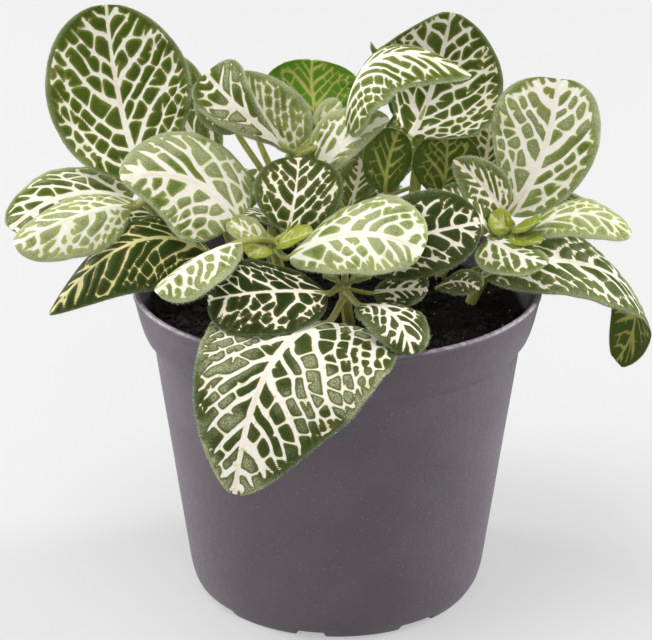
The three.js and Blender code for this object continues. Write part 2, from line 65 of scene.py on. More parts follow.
class Leaf(NamedTuple):
    """One leaf, in millimetres and degrees. It springs from its stem at the share "at". Its rib runs from
    the blade's base to its tip, "wide" gives the half widths left and right of it, "face" is where the
    upper side looks, or "side" where the right margin lies, and each half leaves the rib at "fold" and
    turns by "curl" on its way out. "join" is the share of the rib at which the stalk meets the blade, and
    "full" holds the powers that give the left and the right half their outline. "veins" is the breadth of
    the veins against the usual, "tone" goes from 0, the darkest green, to 1, the palest, "silver" is how
    much grey veils the green in the cells, partly down and partly a painted sheen, "gold" how yellow the
    veins are, their own yellow on young leaves and painted shade on shaded ones, and "worn" how much of
    the blade is blemished. "pairs" is the number of pairs of side veins, 0 for the usual, "lean" how far
    they lean towards the tip, and "cells" the size of the net's cells against the usual. "below" is 1 on a
    leaf that is mostly seen from below."""

    at: float
    rib: list
    wide: tuple
    face: tuple = (0, -1, 0)
    side: tuple = None
    join: float = 0.0
    fold: tuple = (8, 8)
    curl: tuple = (-20, -20)
    full: tuple = (0.55, 0.45, 0.55, 0.45)
    veins: float = 1.0
    tone: float = 0.4
    silver: float = 0.5
    gold: float = 0.0
    worn: float = 0.0
    pairs: int = 0
    lean: float = 1.3
    cells: float = 1.0
    below: int = 0


class Shoot(NamedTuple):
    """A leafy stem: the CAD node that it stands for, the path of its stem and its leaves."""

    node: str
    path: list
    leaves: list


SHOOTS = [
    Shoot("left_shoot", [(-36, 4, 78), (-47, 5, 104), (-57, 5, 120)], [
        Leaf(0.97, [(-57, 8, 125), (-64, 20, 145), (-67, 22, 173)], (21, 22), face=(0, -1, 0.1),
             curl=(-12, -12), full=(0.6, 0.5, 0.6, 0.5), veins=0.8, tone=0.42, silver=0.05, pairs=6,
             lean=1.3, cells=0.85),
        Leaf(0.93, [(-60, 9, 117), (-78, 6.5, 120), (-94.6, -4, 113)], (13, 13),
             face=(-0.2, -0.6, 0.8), fold=(4, 2), curl=(-25, -25), full=(0.6, 0.45, 0.36, 0.5),
             veins=1.25, tone=0.4, silver=1.1),
        Leaf(0.9, [(-59, -7, 121), (-72, -13, 121), (-92, -17, 113)], (12, 11),
             face=(-0.2, -0.6, 0.8), fold=(-20, -10), curl=(-35, -25), full=(0.5, 0.42, 0.5, 0.42),
             veins=1.1, tone=0.85, silver=0.8, cells=0.8),
    ]),
    Shoot("centre_shoot", [(-12, -6, 78), (-16, -9, 98), (-18, -12, 112)], [
        Leaf(0.95, [(-28, -12, 118), (-42, -13, 131), (-61, -18, 133)], (16.5, 17),
             face=(0, -0.8, 0.75), fold=(-4, -4), curl=(-20, -16), full=(0.3, 0.68, 0.33, 0.58),
             veins=1.6, tone=0.78, silver=1.3, lean=1.3, cells=1.15),
        Leaf(0.97, [(-14, -12, 115.5), (-12, -8, 125.5), (-11, 0, 133.6)], (12.2, 13.6),
             face=(-0.1, -0.9, 0.6), fold=(10, 8), curl=(-18, -18), full=(0.5, 0.42, 0.5, 0.42),
             veins=0.68, tone=0.2, silver=0.15, cells=1),
        Leaf(0.86, [(-14, -21, 111), (5, -33, 122), (23.5, -38, 118.5)], (16, 12),
             face=(0.1, -0.6, 0.85), fold=(10, -6), curl=(-35, -30), full=(0.8, 0.42, 0.5, 0.42),
             veins=1.3, tone=0.9, silver=0.9, cells=0.92),
        Leaf(0.86, [(-27, -27, 118), (-38, -45, 119.3), (-49, -54, 112.6)], (10, 9),
             face=(-0.3, -0.45, 0.9), fold=(-10, -20), curl=(-35, -40), full=(0.65, 0.42, 0.65, 0.35),
             veins=1.12, tone=0.76, silver=1.1, pairs=6, cells=0.8),
        # Dark leaf in shade: its gold veins are painted shade
        Leaf(0.6, [(-35, -13, 108), (-58, -15, 113), (-84, -11, 89)], (15, 11),
             face=(-0.2, -0.75, 0.65), fold=(-6, -14), curl=(-30, -35), full=(0.6, 0.8, 0.6, 0.75),
             veins=0.46, tone=0.12, silver=0.03, gold=0.75, lean=1.9),
        Leaf(1, [(-20, -14, 112), (-25, -15, 116), (-31, -13, 119)], (5, 5), face=(0, -0.5, 0.9),
             fold=(20, 20), curl=(-30, -30), veins=0.7, tone=1.1, silver=0.3, cells=0.7),
        Leaf(1, [(-17, -14, 112), (-12, -17, 115), (-7, -20, 118)], (5.2, 5.2), face=(0, -0.4, 1),
             fold=(25, 25), curl=(-30, -30), full=(0.5, 0.7, 0.5, 0.7), veins=0.4, tone=1.5,
             silver=0.1, gold=0.8),
        Leaf(0.98, [(-20, -16, 112), (-22, -20, 113), (-25, -24, 112)], (4, 4), face=(0, -0.6, 0.8),
             fold=(20, 20), curl=(-30, -30), veins=0.4, tone=1.4, silver=0.1, gold=0.8),
    ]),
    Shoot("front_shoot", [(6, -16, 78), (3, -20, 92), (2, -22, 103)], [
        Leaf(0.93, [(-3, -33, 104.6), (-19, -45.5, 109.8), (-35.8, -46.5, 107.6)], (13.5, 12.8),
             face=(0, -0.6, 0.8), fold=(6, -1), curl=(-25, -20), full=(0.55, 0.42, 0.6, 0.42),
             veins=0.62, tone=0.06, silver=0, cells=0.9),
        Leaf(0.97, [(4, -21, 110), (22, -24, 118), (40, -24, 122)], (12.5, 12),
             face=(0.15, -0.85, 0.55), fold=(6, 6), curl=(-18, -18), full=(0.55, 0.48, 0.55, 0.48),
             veins=0.75, tone=0.12, silver=0.1),
        Leaf(0.7, [(-3, -36, 97.3), (-19, -66, 94.8), (-28, -70, 60)], (29, 23),
             side=(-0.97, 0.2, 0.06), fold=(3, 3), curl=(-12, -12), full=(0.25, 0.6, 0.2, 0.6),
             veins=0.88, tone=0.16, silver=1.3, worn=0.78, pairs=7, lean=1.5, cells=0.92),
        Leaf(0.8, [(7, -34, 101.5), (15, -48, 104), (20, -59, 97)], (9, 9), face=(0.35, -0.7, 0.6),
             curl=(-35, -35), full=(0.5, 0.42, 0.5, 0.42), veins=1, tone=0.15, silver=0.45, lean=2,
             cells=0.85),
        Leaf(0.85, [(10, -26, 102), (18, -29, 104), (25, -32, 105)], (6, 6), face=(0.1, -0.6, 0.8),
             veins=0.9, tone=0.1, silver=0.7),
        Leaf(1, [(1, -24, 104), (-1, -28, 107), (-4, -31, 109)], (2.6, 2.6), face=(0, -0.6, 0.8),
             fold=(25, 25), veins=0.4, tone=0.9, silver=0.1, gold=0.8),
        Leaf(1, [(3, -24, 104), (6, -27, 107), (9, -30, 108)], (2.6, 2.6), face=(0, -0.6, 0.8),
             fold=(25, 25), veins=0.4, tone=0.9, silver=0.1, gold=0.8),
    ]),
    Shoot("right_shoot", [(34, 0, 78), (44, 1, 98), (51, 1, 112)], [
        Leaf(0.97, [(50, 4, 114.5), (59.6, 8, 131.6), (64.3, 15.3, 152.8)], (17.5, 15),
             face=(0, -1, 0.25), fold=(12, 6), curl=(-12, -12), full=(0.85, 0.36, 0.7, 0.4),
             veins=1.3, tone=0.69, silver=0.9, cells=0.88),
        Leaf(0.95, [(54, -1, 110), (69, -4, 118), (85, -6, 112)], (9, 8), face=(0.1, -0.4, 0.9),
             fold=(-4, -8), curl=(-20, -25), veins=0.8, tone=1.05, silver=0.8, gold=0.15, lean=2,
             cells=0.75),
        Leaf(1, [(48, -2, 117), (42, -4, 126), (33, -4, 134)], (6.7, 7), face=(0.1, -0.9, 0.4),
             fold=(10, 10), curl=(-15, -15), full=(0.5, 0.62, 0.5, 0.62), veins=0.9, tone=0.4,
             silver=0.5, lean=2.2, cells=0.8),
        Leaf(0.9, [(44, -4, 110.5), (49.8, -14, 110), (59, -23, 109.5)], (7.5, 10),
             face=(0.2, -0.55, 0.8), fold=(4, 0), curl=(-30, -30), full=(0.5, 0.55, 0.5, 0.55),
             veins=1.3, tone=0.6, silver=0.4),
        Leaf(0.6, [(41, -16, 103), (63, -8, 105), (86, 4, 92), (85, 12, 64)], (15, 13),
             side=(0.55, -0.7, -0.45), fold=(12, -8), curl=(-25, -20), veins=0.6, tone=0.3,
             silver=0.4, cells=0.85, below=1),
        Leaf(0.5, [(29, -16, 100), (35, -20, 103), (40, -24, 102)], (5, 5), face=(0.1, -0.6, 0.8),
             veins=0.6, tone=0.15, silver=0.3),
        Leaf(0.6, [(56, 16, 100), (75, 23, 99), (95, 28, 74)], (11, 11), face=(0.2, 0, 0.9),
             curl=(-25, -25)),
        Leaf(0.9, [(44, -5, 113), (38, -8, 121), (30, -6, 126)], (7, 7), face=(0, -0.6, 0.8),
             curl=(-30, -30)),
        Leaf(1, [(51, -1, 112), (55, -5, 114), (58, -8, 117)], (4, 4), face=(-0.4, -0.2, 1),
             fold=(25, 25), curl=(-20, -20), veins=0.4, tone=1.5, silver=0.1, gold=0.8),
        Leaf(1, [(50, -2, 112), (47, -4, 115), (44, -5, 118)], (4, 4), face=(0, -0.8, 0.5),
             fold=(20, 20), curl=(-20, -20), veins=0.4, tone=1.4, silver=0.1, gold=0.8),
        Leaf(1, [(51, -3, 111), (54, -8, 111), (58, -12, 112)], (4.4, 4.4), face=(0.2, -0.5, 0.8),
             fold=(20, 20), curl=(-20, -20), veins=0.35, tone=1.6, silver=0.1, gold=0.8),
    ]),
    Shoot("middle_shoot", [(-17, 12, 78), (-19, 10, 108), (-13, 8, 132)], [
        Leaf(0.97, [(-14, 4, 134.4), (-26.4, 0, 146.5), (-37.5, 2, 158)], (8.6, 9.2),
             face=(0.1, -0.85, 0.45), fold=(-4, 10), curl=(-30, -20), full=(1.1, 0.3, 2, 0.34),
             veins=1.05, tone=0.4, silver=1.8, cells=1.1),
        Leaf(1, [(-13.7, 9, 132), (-21.4, 10, 143.7), (-28, 12, 155.6)], (3.8, 12.2),
             face=(-0.15, -0.9, 0.3), fold=(20, 4), curl=(-15, -15), full=(0.5, 0.5, 0.32, 0.66),
             veins=0.62, tone=0.75, silver=0.1, gold=0.1, lean=2.2, cells=0.85),
        Leaf(0.95, [(-5, 22, 137), (-7.3, 26, 145), (-7.3, 26, 155.5)], (14.5, 14.5),
             face=(0, 1, -0.1), fold=(4, 4), curl=(-15, -15), full=(0.5, 0.4, 0.5, 0.4), veins=1,
             tone=1, below=1),
        Leaf(0.85, [(-5, 6, 128.5), (4, 2, 138.5), (15, 3, 144)], (10.8, 5), face=(-0.15, -0.8, 0.6),
             fold=(8, 4), full=(0.25, 0.6, 0.3, 0.7), veins=1.6, tone=0.76, silver=1.3, lean=2.2),
        Leaf(0.97, [(-6, 14, 138), (-3, 14, 142), (1, 14, 146)], (4, 4), face=(0, -0.7, 0.7),
             veins=0.6, tone=0.9, silver=0.2, gold=0.3),
        Leaf(0.9, [(2, 7, 141), (12, -3, 164), (38, -5, 159)], (7.6, 14.5), face=(-0.1, -0.55, 0.8),
             fold=(-14, -2), curl=(-30, -30), full=(0.5, 0.6, 0.3, 0.62), veins=0.8, tone=0.6,
             silver=0.35, lean=2.6, cells=0.8),
        Leaf(0.45, [(-13, 14, 102), (-22, 15, 111), (-32, 13, 110)], (8, 8), face=(0, 0.1, 1),
             curl=(-25, -25)),
        Leaf(0.45, [(0, 4, 101), (9, -4, 109), (20, -9, 109)], (8, 8), face=(0, -0.1, 1),
             curl=(-25, -25)),
        Leaf(0.6, [(4, 18, 113), (6, 20, 119), (7, 22, 126)], (6, 6), face=(0, -1, 0.2),
             curl=(-15, -15)),
        Leaf(0.62, [(-29, 9, 138), (-33, 10, 146), (-36, 12, 153)], (8.3, 8.3), face=(0, -0.9, 0.4)),
        Leaf(0.7, [(-23.5, 11, 138), (-25, 14, 144), (-27, 16, 149)], (8.3, 8.3),
             face=(0, -0.9, 0.4)),
    ]),
    Shoot("high_shoot", [(20, 15, 78), (22, 14, 106), (24, 13, 132)], [
        Leaf(1, [(21, 0, 140), (28, 20, 149), (33, 20, 171)], (28.5, 21), face=(0.05, -1, 0.3),
             join=0.2, fold=(14, 4), curl=(46, 20), full=(0.35, 0.45, 0.42, 0.45), veins=0.9,
             tone=0.35, silver=0.15, cells=0.8),
        Leaf(0.82, [(31, 12, 118), (32, 12, 127), (32, 12, 137)], (10, 10), face=(0, 1, 0),
             fold=(4, 4), curl=(-15, -15), full=(0.5, 0.4, 0.5, 0.4), veins=0.8, tone=0.4, below=1),
        Leaf(0.45, [(23, 6, 98), (23, -2, 104), (24, -9, 103)], (7, 7), face=(0.1, -0.2, 1),
             curl=(-25, -25)),
        Leaf(0.5, [(19, 19, 103), (23, 25, 111), (29, 28, 110)], (9, 9), face=(0, 0.2, 1),
             curl=(-25, -25)),
        Leaf(0.75, [(14, 12, 119), (15, 14, 128), (18, 16, 137)], (7, 8), face=(-0.2, 1, 0),
             fold=(10, 10), veins=0.8, tone=0.4, below=1),
    ]),
    Shoot("back_left_shoot", [(-24, 22, 78), (-32, 28, 97), (-38, 31, 114)], [
        Leaf(0.95, [(-42, 31, 112), (-60, 42, 117), (-80, 50, 106)], (14, 14), face=(-0.3, 0.4, 0.85),
             curl=(-25, -25)),
        Leaf(0.75, [(-28, 38, 108), (-34, 54, 112), (-40, 68, 96)], (14, 14), face=(-0.15, 0.6, 0.8),
             curl=(-25, -25), full=(0.5, 0.5, 0.5, 0.5)),
        Leaf(1, [(-38, 34, 119), (-48, 42, 135), (-56, 46, 152)], (12, 12), face=(0.3, -0.8, 0.3)),
        Leaf(0.7, [(-46, 20, 104), (-66, 26, 108), (-88, 24, 96)], (12, 12), face=(-0.3, 0.1, 0.9),
             curl=(-25, -25)),
        Leaf(0.9, [(-33, 30, 106), (-31, 37, 112), (-30, 43, 116)], (8.3, 8.3), face=(0, 0.9, 0.3)),
    ]),
    Shoot("back_shoot", [(0, 27, 78), (0, 33, 98), (-2, 35, 117)], [
        Leaf(0.6, [(2, 42, 103), (4, 62, 104), (4, 74, 82)], (17, 17), face=(0, 0.8, 0.6),
             curl=(-20, -20), full=(0.45, 0.6, 0.45, 0.6)),
        Leaf(0.92, [(11, 38, 112), (19, 46, 123), (28, 52, 130)], (13, 13), face=(0.2, 0.7, 0.6),
             curl=(-25, -25)),
        Leaf(0.92, [(-5, 40, 111), (-9, 52, 115), (-15, 64, 110)], (12, 12), face=(-0.1, 0.4, 0.9),
             curl=(-25, -25)),
        Leaf(0.85, [(4, 32, 106), (9, 36, 114), (13, 40, 124)], (10, 10), face=(0, -0.8, 0.4)),
        Leaf(1, [(-3, 38, 120), (-6, 43, 132), (-7, 47, 143)], (11, 11), face=(0, 0.8, 0.4),
             curl=(-15, -15)),
    ]),
    Shoot("back_right_shoot", [(28, 24, 78), (36, 27, 99), (41, 29, 115)], [
        Leaf(0.95, [(45, 31, 109), (62, 42, 111), (80, 48, 98)], (13, 13), face=(0.3, 0.4, 0.85),
             curl=(-25, -25)),
        Leaf(0.7, [(34, 40, 105), (44, 56, 108), (52, 69, 91)], (13, 13), face=(0.3, 0.7, 0.7),
             curl=(-25, -25), full=(0.5, 0.5, 0.5, 0.5)),
        Leaf(1, [(46, 30, 116), (54, 33, 130), (60, 34, 142)], (12, 12), face=(-0.1, -0.9, 0.3)),
        Leaf(0.97, [(44, 25, 120), (45, 26, 128), (46, 28, 136)], (8, 8), face=(0, -1, 0.2),
             curl=(-15, -15)),
        Leaf(0.9, [(35, 33, 116), (35, 40, 132), (37, 44, 148)], (13, 13), face=(0.1, 0.9, 0.4),
             curl=(-15, -15)),
    ]),
]

# Where a blade begins and ends along its rib, as shares of the rib's length
FIRST_ROW = 0.012
LAST_ROW = 0.994

# Stems and stalks, in millimetres: a blade whose half is narrower than this has the thin stalk
SMALL_HALF_WIDTH = 8.2
STALK_RADIUS = 0.95
SMALL_STALK_RADIUS = 0.6
STEM_RADIUS = 1.9
HAIR_RADIUS = 0.03
STEM_HAIRS_PER_MM = 9
STEM_SIDES = 16
STALK_SIDES = 10

# The pot, in millimetres and degrees
POT_HEIGHT = 96.0
POT_RIM = 60.0
WALL_BOTTOM = 8.0
COLLAR_BOTTOM = 80.0
FLOOR_LOW = 3.0
FLOOR_TOP = 4.6
FLOOR_RADIUS = 38.5
FOOT_GAPS = [(-77, -46), (-16, -5), (26, 41), (68, 82), (113, 128), (158, 172), (204, 219), (248, 263)]
FOOT_GAP_HEIGHT = 2.0
HOLES = 6
HOLE_RADIUS = 3.6
HOLE_RING = 24.0
PEAT_GAP = 0.4
PEAT_LEVEL = 88.5
PEAT_TILT = 2.6
PEAT_RADIUS_HEIGHT = PEAT_LEVEL - 5
CRUMB_SIZES = (0.28, 1.9)
WHITE_SIZES = (0.3, 0.7)
WHITE_SHARE = 0.022

# Numbers that the random choices start from
NUMBERS_PER_SHOOT = 10
VEIN_SEED = 900
SWAY_SEEDS = (31, 32)
HAIR_SEED = 23
CLOD_SEEDS = (11, 12)
CRUMB_SEEDS = (13, 14)


# Sizes and colours that a user would change

class LeafSettings(bpy.types.PropertyGroup):
    """Sizes and colours of the leaves, their stalks and their hairs."""

    spacing: FloatProperty(
        name="Grid spacing", description="Distance between the points of a blade's grid",
        default=0.00045, min=0.0003, unit="LENGTH")
    thickness: FloatProperty(
        name="Blade thickness", description="Thickness of a blade at its rib",
        default=0.0006, min=0.0002, unit="LENGTH")
    quilting: FloatProperty(
        name="Quilting", description="How far the green cells stand above the veins",
        default=0.0002, min=0.0, unit="LENGTH")
    hair_length: FloatProperty(
        name="Hair length", description="Mean length of the hairs along the margins and stems",
        default=0.0006, min=0.0, unit="LENGTH")
    hair_spacing: FloatProperty(
        name="Hair spacing", description="Distance between hairs along a margin",
        default=0.00024, min=0.0001, unit="LENGTH")
    dark_green: FloatVectorProperty(
        name="Dark green", description="Blade colour beside the veins", subtype="COLOR",
        default=(0.009, 0.026, 0.0016), min=0.0, max=1.0)
    light_green: FloatVectorProperty(
        name="Light green", description="Blade colour in the middle of the cells of a pale leaf",
        subtype="COLOR", default=(0.138, 0.215, 0.014), min=0.0, max=1.0)
    silver_green: FloatVectorProperty(
        name="Silver green", description="Veil of fine down on the blade and its margin", subtype="COLOR",
        default=(0.44, 0.47, 0.27), min=0.0, max=1.0)
    vein: FloatVectorProperty(
        name="Vein", description="Colour of the veins on the upper face", subtype="COLOR",
        default=(0.91, 0.87, 0.775), min=0.0, max=1.0)
    vein_edge: FloatVectorProperty(
        name="Vein edge", description="Colour of the thin border of a vein", subtype="COLOR",
        default=(0.26, 0.24, 0.06), min=0.0, max=1.0)
    underside: FloatVectorProperty(
        name="Underside", description="Colour of a blade's lower face", subtype="COLOR",
        default=(0.084, 0.136, 0.010), min=0.0, max=1.0)
    under_vein: FloatVectorProperty(
        name="Vein below", description="Colour of the veins on the lower face", subtype="COLOR",
        default=(0.62, 0.60, 0.17), min=0.0, max=1.0)
    stalk: FloatVectorProperty(
        name="Stalk", description="Colour of the stems and leaf stalks", subtype="COLOR",
        default=(0.40, 0.40, 0.09), min=0.0, max=1.0)


class PeatSettings(bpy.types.PropertyGroup):
    """Sizes and colours of the peat."""

    crumbs: IntProperty(
        name="Crumbs", description="Number of loose crumbs on the peat", default=2600, min=0)
    fibres: IntProperty(
        name="Fibres", description="Number of fibres lying on the peat", default=260, min=0)
    seed: IntProperty(name="Seed", description="Start of the random scatter", default=7)
    dark: FloatVectorProperty(
        name="Dark peat", description="Colour in the hollows", subtype="COLOR",
        default=(0.011, 0.008, 0.007), min=0.0, max=1.0)
    brown: FloatVectorProperty(
        name="Brown peat", description="Colour of the crumbs", subtype="COLOR",
        default=(0.060, 0.038, 0.026), min=0.0, max=1.0)


class PotSettings(bpy.types.PropertyGroup):
    """Sizes and colours of the pot."""

    height: FloatProperty(
        name="Height", description="Height of the pot", default=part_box("pot")[1][2], unit="LENGTH")
    rim_radius: FloatProperty(
        name="Rim radius", description="Radius of the rim", default=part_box("pot")[1][0], unit="LENGTH")
    plastic: FloatVectorProperty(
        name="Plastic", description="Colour of the moulded plastic", subtype="COLOR",
        default=(0.083, 0.065, 0.085), min=0.0, max=1.0)
    speckle: FloatVectorProperty(
        name="Speckle", description="Colour of the fine light specks in the plastic", subtype="COLOR",
        default=(0.36, 0.32, 0.37), min=0.0, max=1.0)


class StageSettings(bpy.types.PropertyGroup):
    """The floor, the camera and the lights."""

    floor_size: FloatProperty(
        name="Floor size", description="Side of the floor", default=8.0, unit="LENGTH")
    floor_colour: FloatVectorProperty(
        name="Floor", description="Colour of the floor", subtype="COLOR",
        default=(0.30, 0.30, 0.30), min=0.0, max=1.0)
    floor_glow: FloatProperty(
        name="Floor glow", description="How strongly the floor is lit from below", default=0.412, min=0.0)
    camera_distance: FloatProperty(
        name="Camera distance", description="From the camera to the middle of the view",
        default=0.6504, unit="LENGTH")
    camera_height: FloatProperty(
        name="Camera elevation", description="Angle of the view below the level",
        default=np.radians(21.9), unit="ROTATION")
    sky: FloatProperty(
        name="Sky", description="Strength of the even light from all round", default=0.52, min=0.0)
    key: FloatProperty(
        name="Key light", description="Unit of power of the lamps above and at the left",
        default=11.9, min=0.0, unit="POWER")
    fill: FloatProperty(
        name="Fill light", description="Unit of power of the lamps at both edges and in front",
        default=2.0, min=0.0, unit="POWER")


# Mesh helpers

class Heap:
    """Gathers the points, faces and point fields of many shapes for one mesh."""

    def __init__(self):
        self.points, self.quads, self.triangles, self.fields, self.size = [], [], [], {}, 0

    def add(self, points, quads=None, triangles=None, **fields):
        """Adds a shape: its points, its faces by the numbers of its own points, and its point fields."""
        points = np.asarray(points, float).reshape(-1, 3)
        if quads is not None:
            self.quads.append(np.asarray(quads).reshape(-1, 4) + self.size)
        if triangles is not None:
            self.triangles.append(np.asarray(triangles).reshape(-1, 3) + self.size)
        for name, values in fields.items():
            spread = np.broadcast_to(np.asarray(values, float), (len(points), 3))
            self.fields.setdefault(name, []).append(spread)
        self.points.append(points)
        self.size += len(points)

    def piece(self, name, material, slot):
        """Makes the object. Points are in millimetres here and in metres in the mesh."""
        points = np.concatenate(self.points) * MM
        quads = np.concatenate(self.quads) if self.quads else np.zeros((0, 4), int)
        triangles = np.concatenate(self.triangles) if self.triangles else np.zeros((0, 3), int)
        corners = np.concatenate([quads.ravel(), triangles.ravel()]).astype(np.int32)
        starts = np.concatenate([
            np.arange(len(quads)) * 4,
            len(quads) * 4 + np.arange(len(triangles)) * 3,
        ]).astype(np.int32)
        mesh = bpy.data.meshes.new(name)
        mesh.vertices.add(len(points))
        mesh.vertices.foreach_set("co", points.ravel().astype(np.float32))
        mesh.loops.add(len(corners))
        mesh.loops.foreach_set("vertex_index", corners)
        mesh.polygons.add(len(starts))
        mesh.polygons.foreach_set("loop_start", starts)
        mesh.polygons.foreach_set("use_smooth", np.ones(len(starts), bool))
        for field, parts in self.fields.items():
            layer = mesh.attributes.new(field, "FLOAT_VECTOR", "POINT")
            layer.data.foreach_set("vector", np.concatenate(parts).ravel().astype(np.float32))
        mesh.update(calc_edges=True)
        mesh.validate()
        mesh.materials.append(material)
        piece = bpy.data.objects.new(name, mesh)
        bpy.context.scene.collection.objects.link(piece)
        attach(piece, BODY)
        return piece


def unit(v):
    """Each vector divided by its length."""
    return v / np.maximum(np.linalg.norm(v, axis=-1, keepdims=True), 1e-9)


def grid_quads(rows, columns, wrap=False):
    """Faces of a grid of rows by columns of points; with wrap, the last column joins the first."""
    j = np.arange(columns if wrap else columns - 1)
    a = np.arange(rows - 1)[:, None] * columns + j
    b = np.arange(rows - 1)[:, None] * columns + (j + 1) % columns
    return np.stack([a, b, b + columns, a + columns], -1).reshape(-1, 4)


def smooth_step(low, high, value):
    """0 up to low, 1 from high on, and t^2 (3 - 2 t) at the share t of the way; low may be the larger."""
    t = np.clip((value - low) / (high - low), 0, 1)
    return t * t * (3 - 2 * t)


def lattice_noise(x, y, cell, seed):
    """Smooth random height from -1 to 1: random values at the corners of square cells, eased between."""
    values = np.random.default_rng(seed).uniform(-1, 1, (64, 64))
    gx, gy = x / cell, y / cell
    i, j = np.floor(gx).astype(int), np.floor(gy).astype(int)
    fx, fy = smooth_step(0, 1, gx - i), smooth_step(0, 1, gy - j)

    def corner(right, ahead):
        return values[(i + right) % 64, (j + ahead) % 64]

    low = corner(0, 0) * (1 - fx) + corner(1, 0) * fx
    high = corner(0, 1) * (1 - fx) + corner(1, 1) * fx
    return low * (1 - fy) + high * fy


def tube(points, radii, sides):
    """A round tube: at each point of the path a circle of its radius, square to the path, closed at both
    ends by a cone to the path's end point."""
    points = np.asarray(points, float)
    forward = unit(np.gradient(points, axis=0))
    aside = np.eye(3)[np.argmin(np.abs(unit(points[-1] - points[0])))]
    first = unit(np.cross(forward, aside))
    second = np.cross(forward, first)
    turn = np.arange(sides) / sides * 2 * np.pi
    ring = first[:, None] * np.cos(turn)[:, None] + second[:, None] * np.sin(turn)[:, None]
    skin = points[:, None] + ring * np.asarray(radii)[:, None, None]
    rows = len(points)
    ends = np.array([points[0], points[-1]])
    here = np.arange(sides)
    beside = (here + 1) % sides
    pole = np.full(sides, rows * sides)
    last = (rows - 1) * sides
    triangles = np.concatenate([
        np.stack([pole, beside, here], -1),
        np.stack([pole + 1, last + here, last + beside], -1),
    ])
    return np.concatenate([skin.reshape(-1, 3), ends]), grid_quads(rows, sides, wrap=True), triangles


def spikes(bases, ways, lengths, radii):
    """Three-sided needles: each stands on its base point, runs along its way and ends in a point."""
    bases, ways = np.asarray(bases, float), unit(np.asarray(ways, float))
    helper = np.where(np.abs(ways[:, 2:]) < 0.8, [[0, 0, 1]], [[1, 0, 0]])
    first = unit(np.cross(ways, helper))
    second = np.cross(ways, first)
    turn = np.arange(3) * 2 * np.pi / 3
    ring = first[:, None] * np.cos(turn)[:, None] + second[:, None] * np.sin(turn)[:, None]
    feet = bases[:, None] + ring * np.broadcast_to(radii, len(bases))[:, None, None]
    tips = bases + ways * np.asarray(lengths)[:, None]
    points = np.concatenate([feet, tips[:, None]], 1)
    one = np.array([[0, 1, 3], [1, 2, 3], [2, 0, 3], [2, 1, 0]])
    triangles = (np.arange(len(bases)) * 4)[:, None, None] + one
    return points.reshape(-1, 3), triangles.reshape(-1, 3)


# Leaves

def curve_at(points, share):
    """Smooth curve through evenly spaced points: each point's weight is 1 at its own place along the curve
    and 0 at the others'."""
    points = np.asarray(points, float)
    last = len(points) - 1
    share = np.asarray(share, float)[..., None]
    place = 0
    for i in range(last + 1):
        weight = 1.0
        for j in range(last + 1):
            if j != i:
                weight = weight * (share * last - j) / (i - j)
        place = place + weight * points[i]
    return place


def curve_length(points):
    """Length of the smooth curve, as that of 39 short straight steps along it."""
    return np.linalg.norm(np.diff(curve_at(points, np.linspace(0, 1, 40)), axis=0), axis=1).sum()


def leaf_frame(leaf, u):
    """The rib's point at u, and three unit directions: along the rib, across it to the right, and out of
    the upper face."""
    step = 0.001
    ahead = curve_at(leaf.rib, np.minimum(u + step, 1))
    forward = unit(ahead - curve_at(leaf.rib, np.maximum(u - step, 0)))
    middle = unit(curve_at(leaf.rib, 0.55) - curve_at(leaf.rib, 0.45))
    side = unit(np.array(leaf.side, float)) if leaf.side else unit(np.cross(middle, leaf.face))
    across = unit(side - (forward @ side)[..., None] * forward)
    return curve_at(leaf.rib, u), forward, across, np.cross(across, forward)


def half_width(leaf, u, v):
    """Half width at u of the half that v lies in: u to the power rise times (1 - u) to the power taper,
    scaled so that its peak is the stated half width."""
    rise = np.where(v < 0, leaf.full[0], leaf.full[2])
    taper = np.where(v < 0, leaf.full[1], leaf.full[3])
    peak = rise / (rise + taper)
    share = (u ** rise * (1 - u) ** taper) / (peak ** rise * (1 - peak) ** taper)
    return share * np.where(v < 0, leaf.wide[0], leaf.wide[1])


def vein_breadth(leaf):
    """Breadth of a leaf's veins in millimetres, which grows with the leaf's length."""
    return (0.30 + 0.0105 * curve_length(leaf.rib)) * leaf.veins


# The net of veins, with lengths in millimetres and a vein's breadth against the leaf's own

FEWEST_PAIRS = 4  # of side veins
RIB_PER_PAIR = 9.0  # length of rib that one pair of side veins takes
CROWDING = 0.3  # how much closer the side veins stand at the tip
BOW = 0.25  # how far a side vein bows towards the tip
LEFT_AHEAD = 0.36  # of a strip, by which the left side veins are out of step with the right ones
ALONG_VEINS = 1.8 ** 2  # squared distances along the side veins count this many times less
MOST_CELLS = 160
FILLED = 0.62  # of its room: no cell is added where the nearest centre is closer than this
SPURRED = 0.16  # share of the cells that have a spur
OUTSIDE = -999.0  # the strip of a centre outside the margin
FAR_OFF = 9.0  # a distance at which a vein no longer shows
KEPT = (-3, 4)  # the distances that the mesh keeps
SHARPNESS = 2.6  # of the corners where veins meet
FULL_LENGTH = 50.0  # of a large leaf, which has the whole relief


class Plan(NamedTuple):
    """A blade's grid laid flat: u, the share t of the half width, x across from the rib, y along it, the
    hand, which is -1 on the left and 1 on the right, the distance from the margin, how far side veins
    lean forward there, the leaf's length and the breadth of its veins."""

    u: np.ndarray
    t: np.ndarray
    x: np.ndarray
    y: np.ndarray
    hand: np.ndarray
    rim: np.ndarray
    lean: np.ndarray
    length: float
    breadth: float


def blade_plan(leaf, u, v):
    """The plan of a blade: x is t times the half width, and y is u times the length."""
    t = np.abs(v)
    half = half_width(leaf, u, v)
    x = t * half
    length = curve_length(leaf.rib)
    hand = np.where(v < 0, -1.0, 1.0)
    lean = leaf.lean * (1.3 - 0.45 * u)
    return Plan(u, t, x, u * length, hand, half - x, lean, length, vein_breadth(leaf))


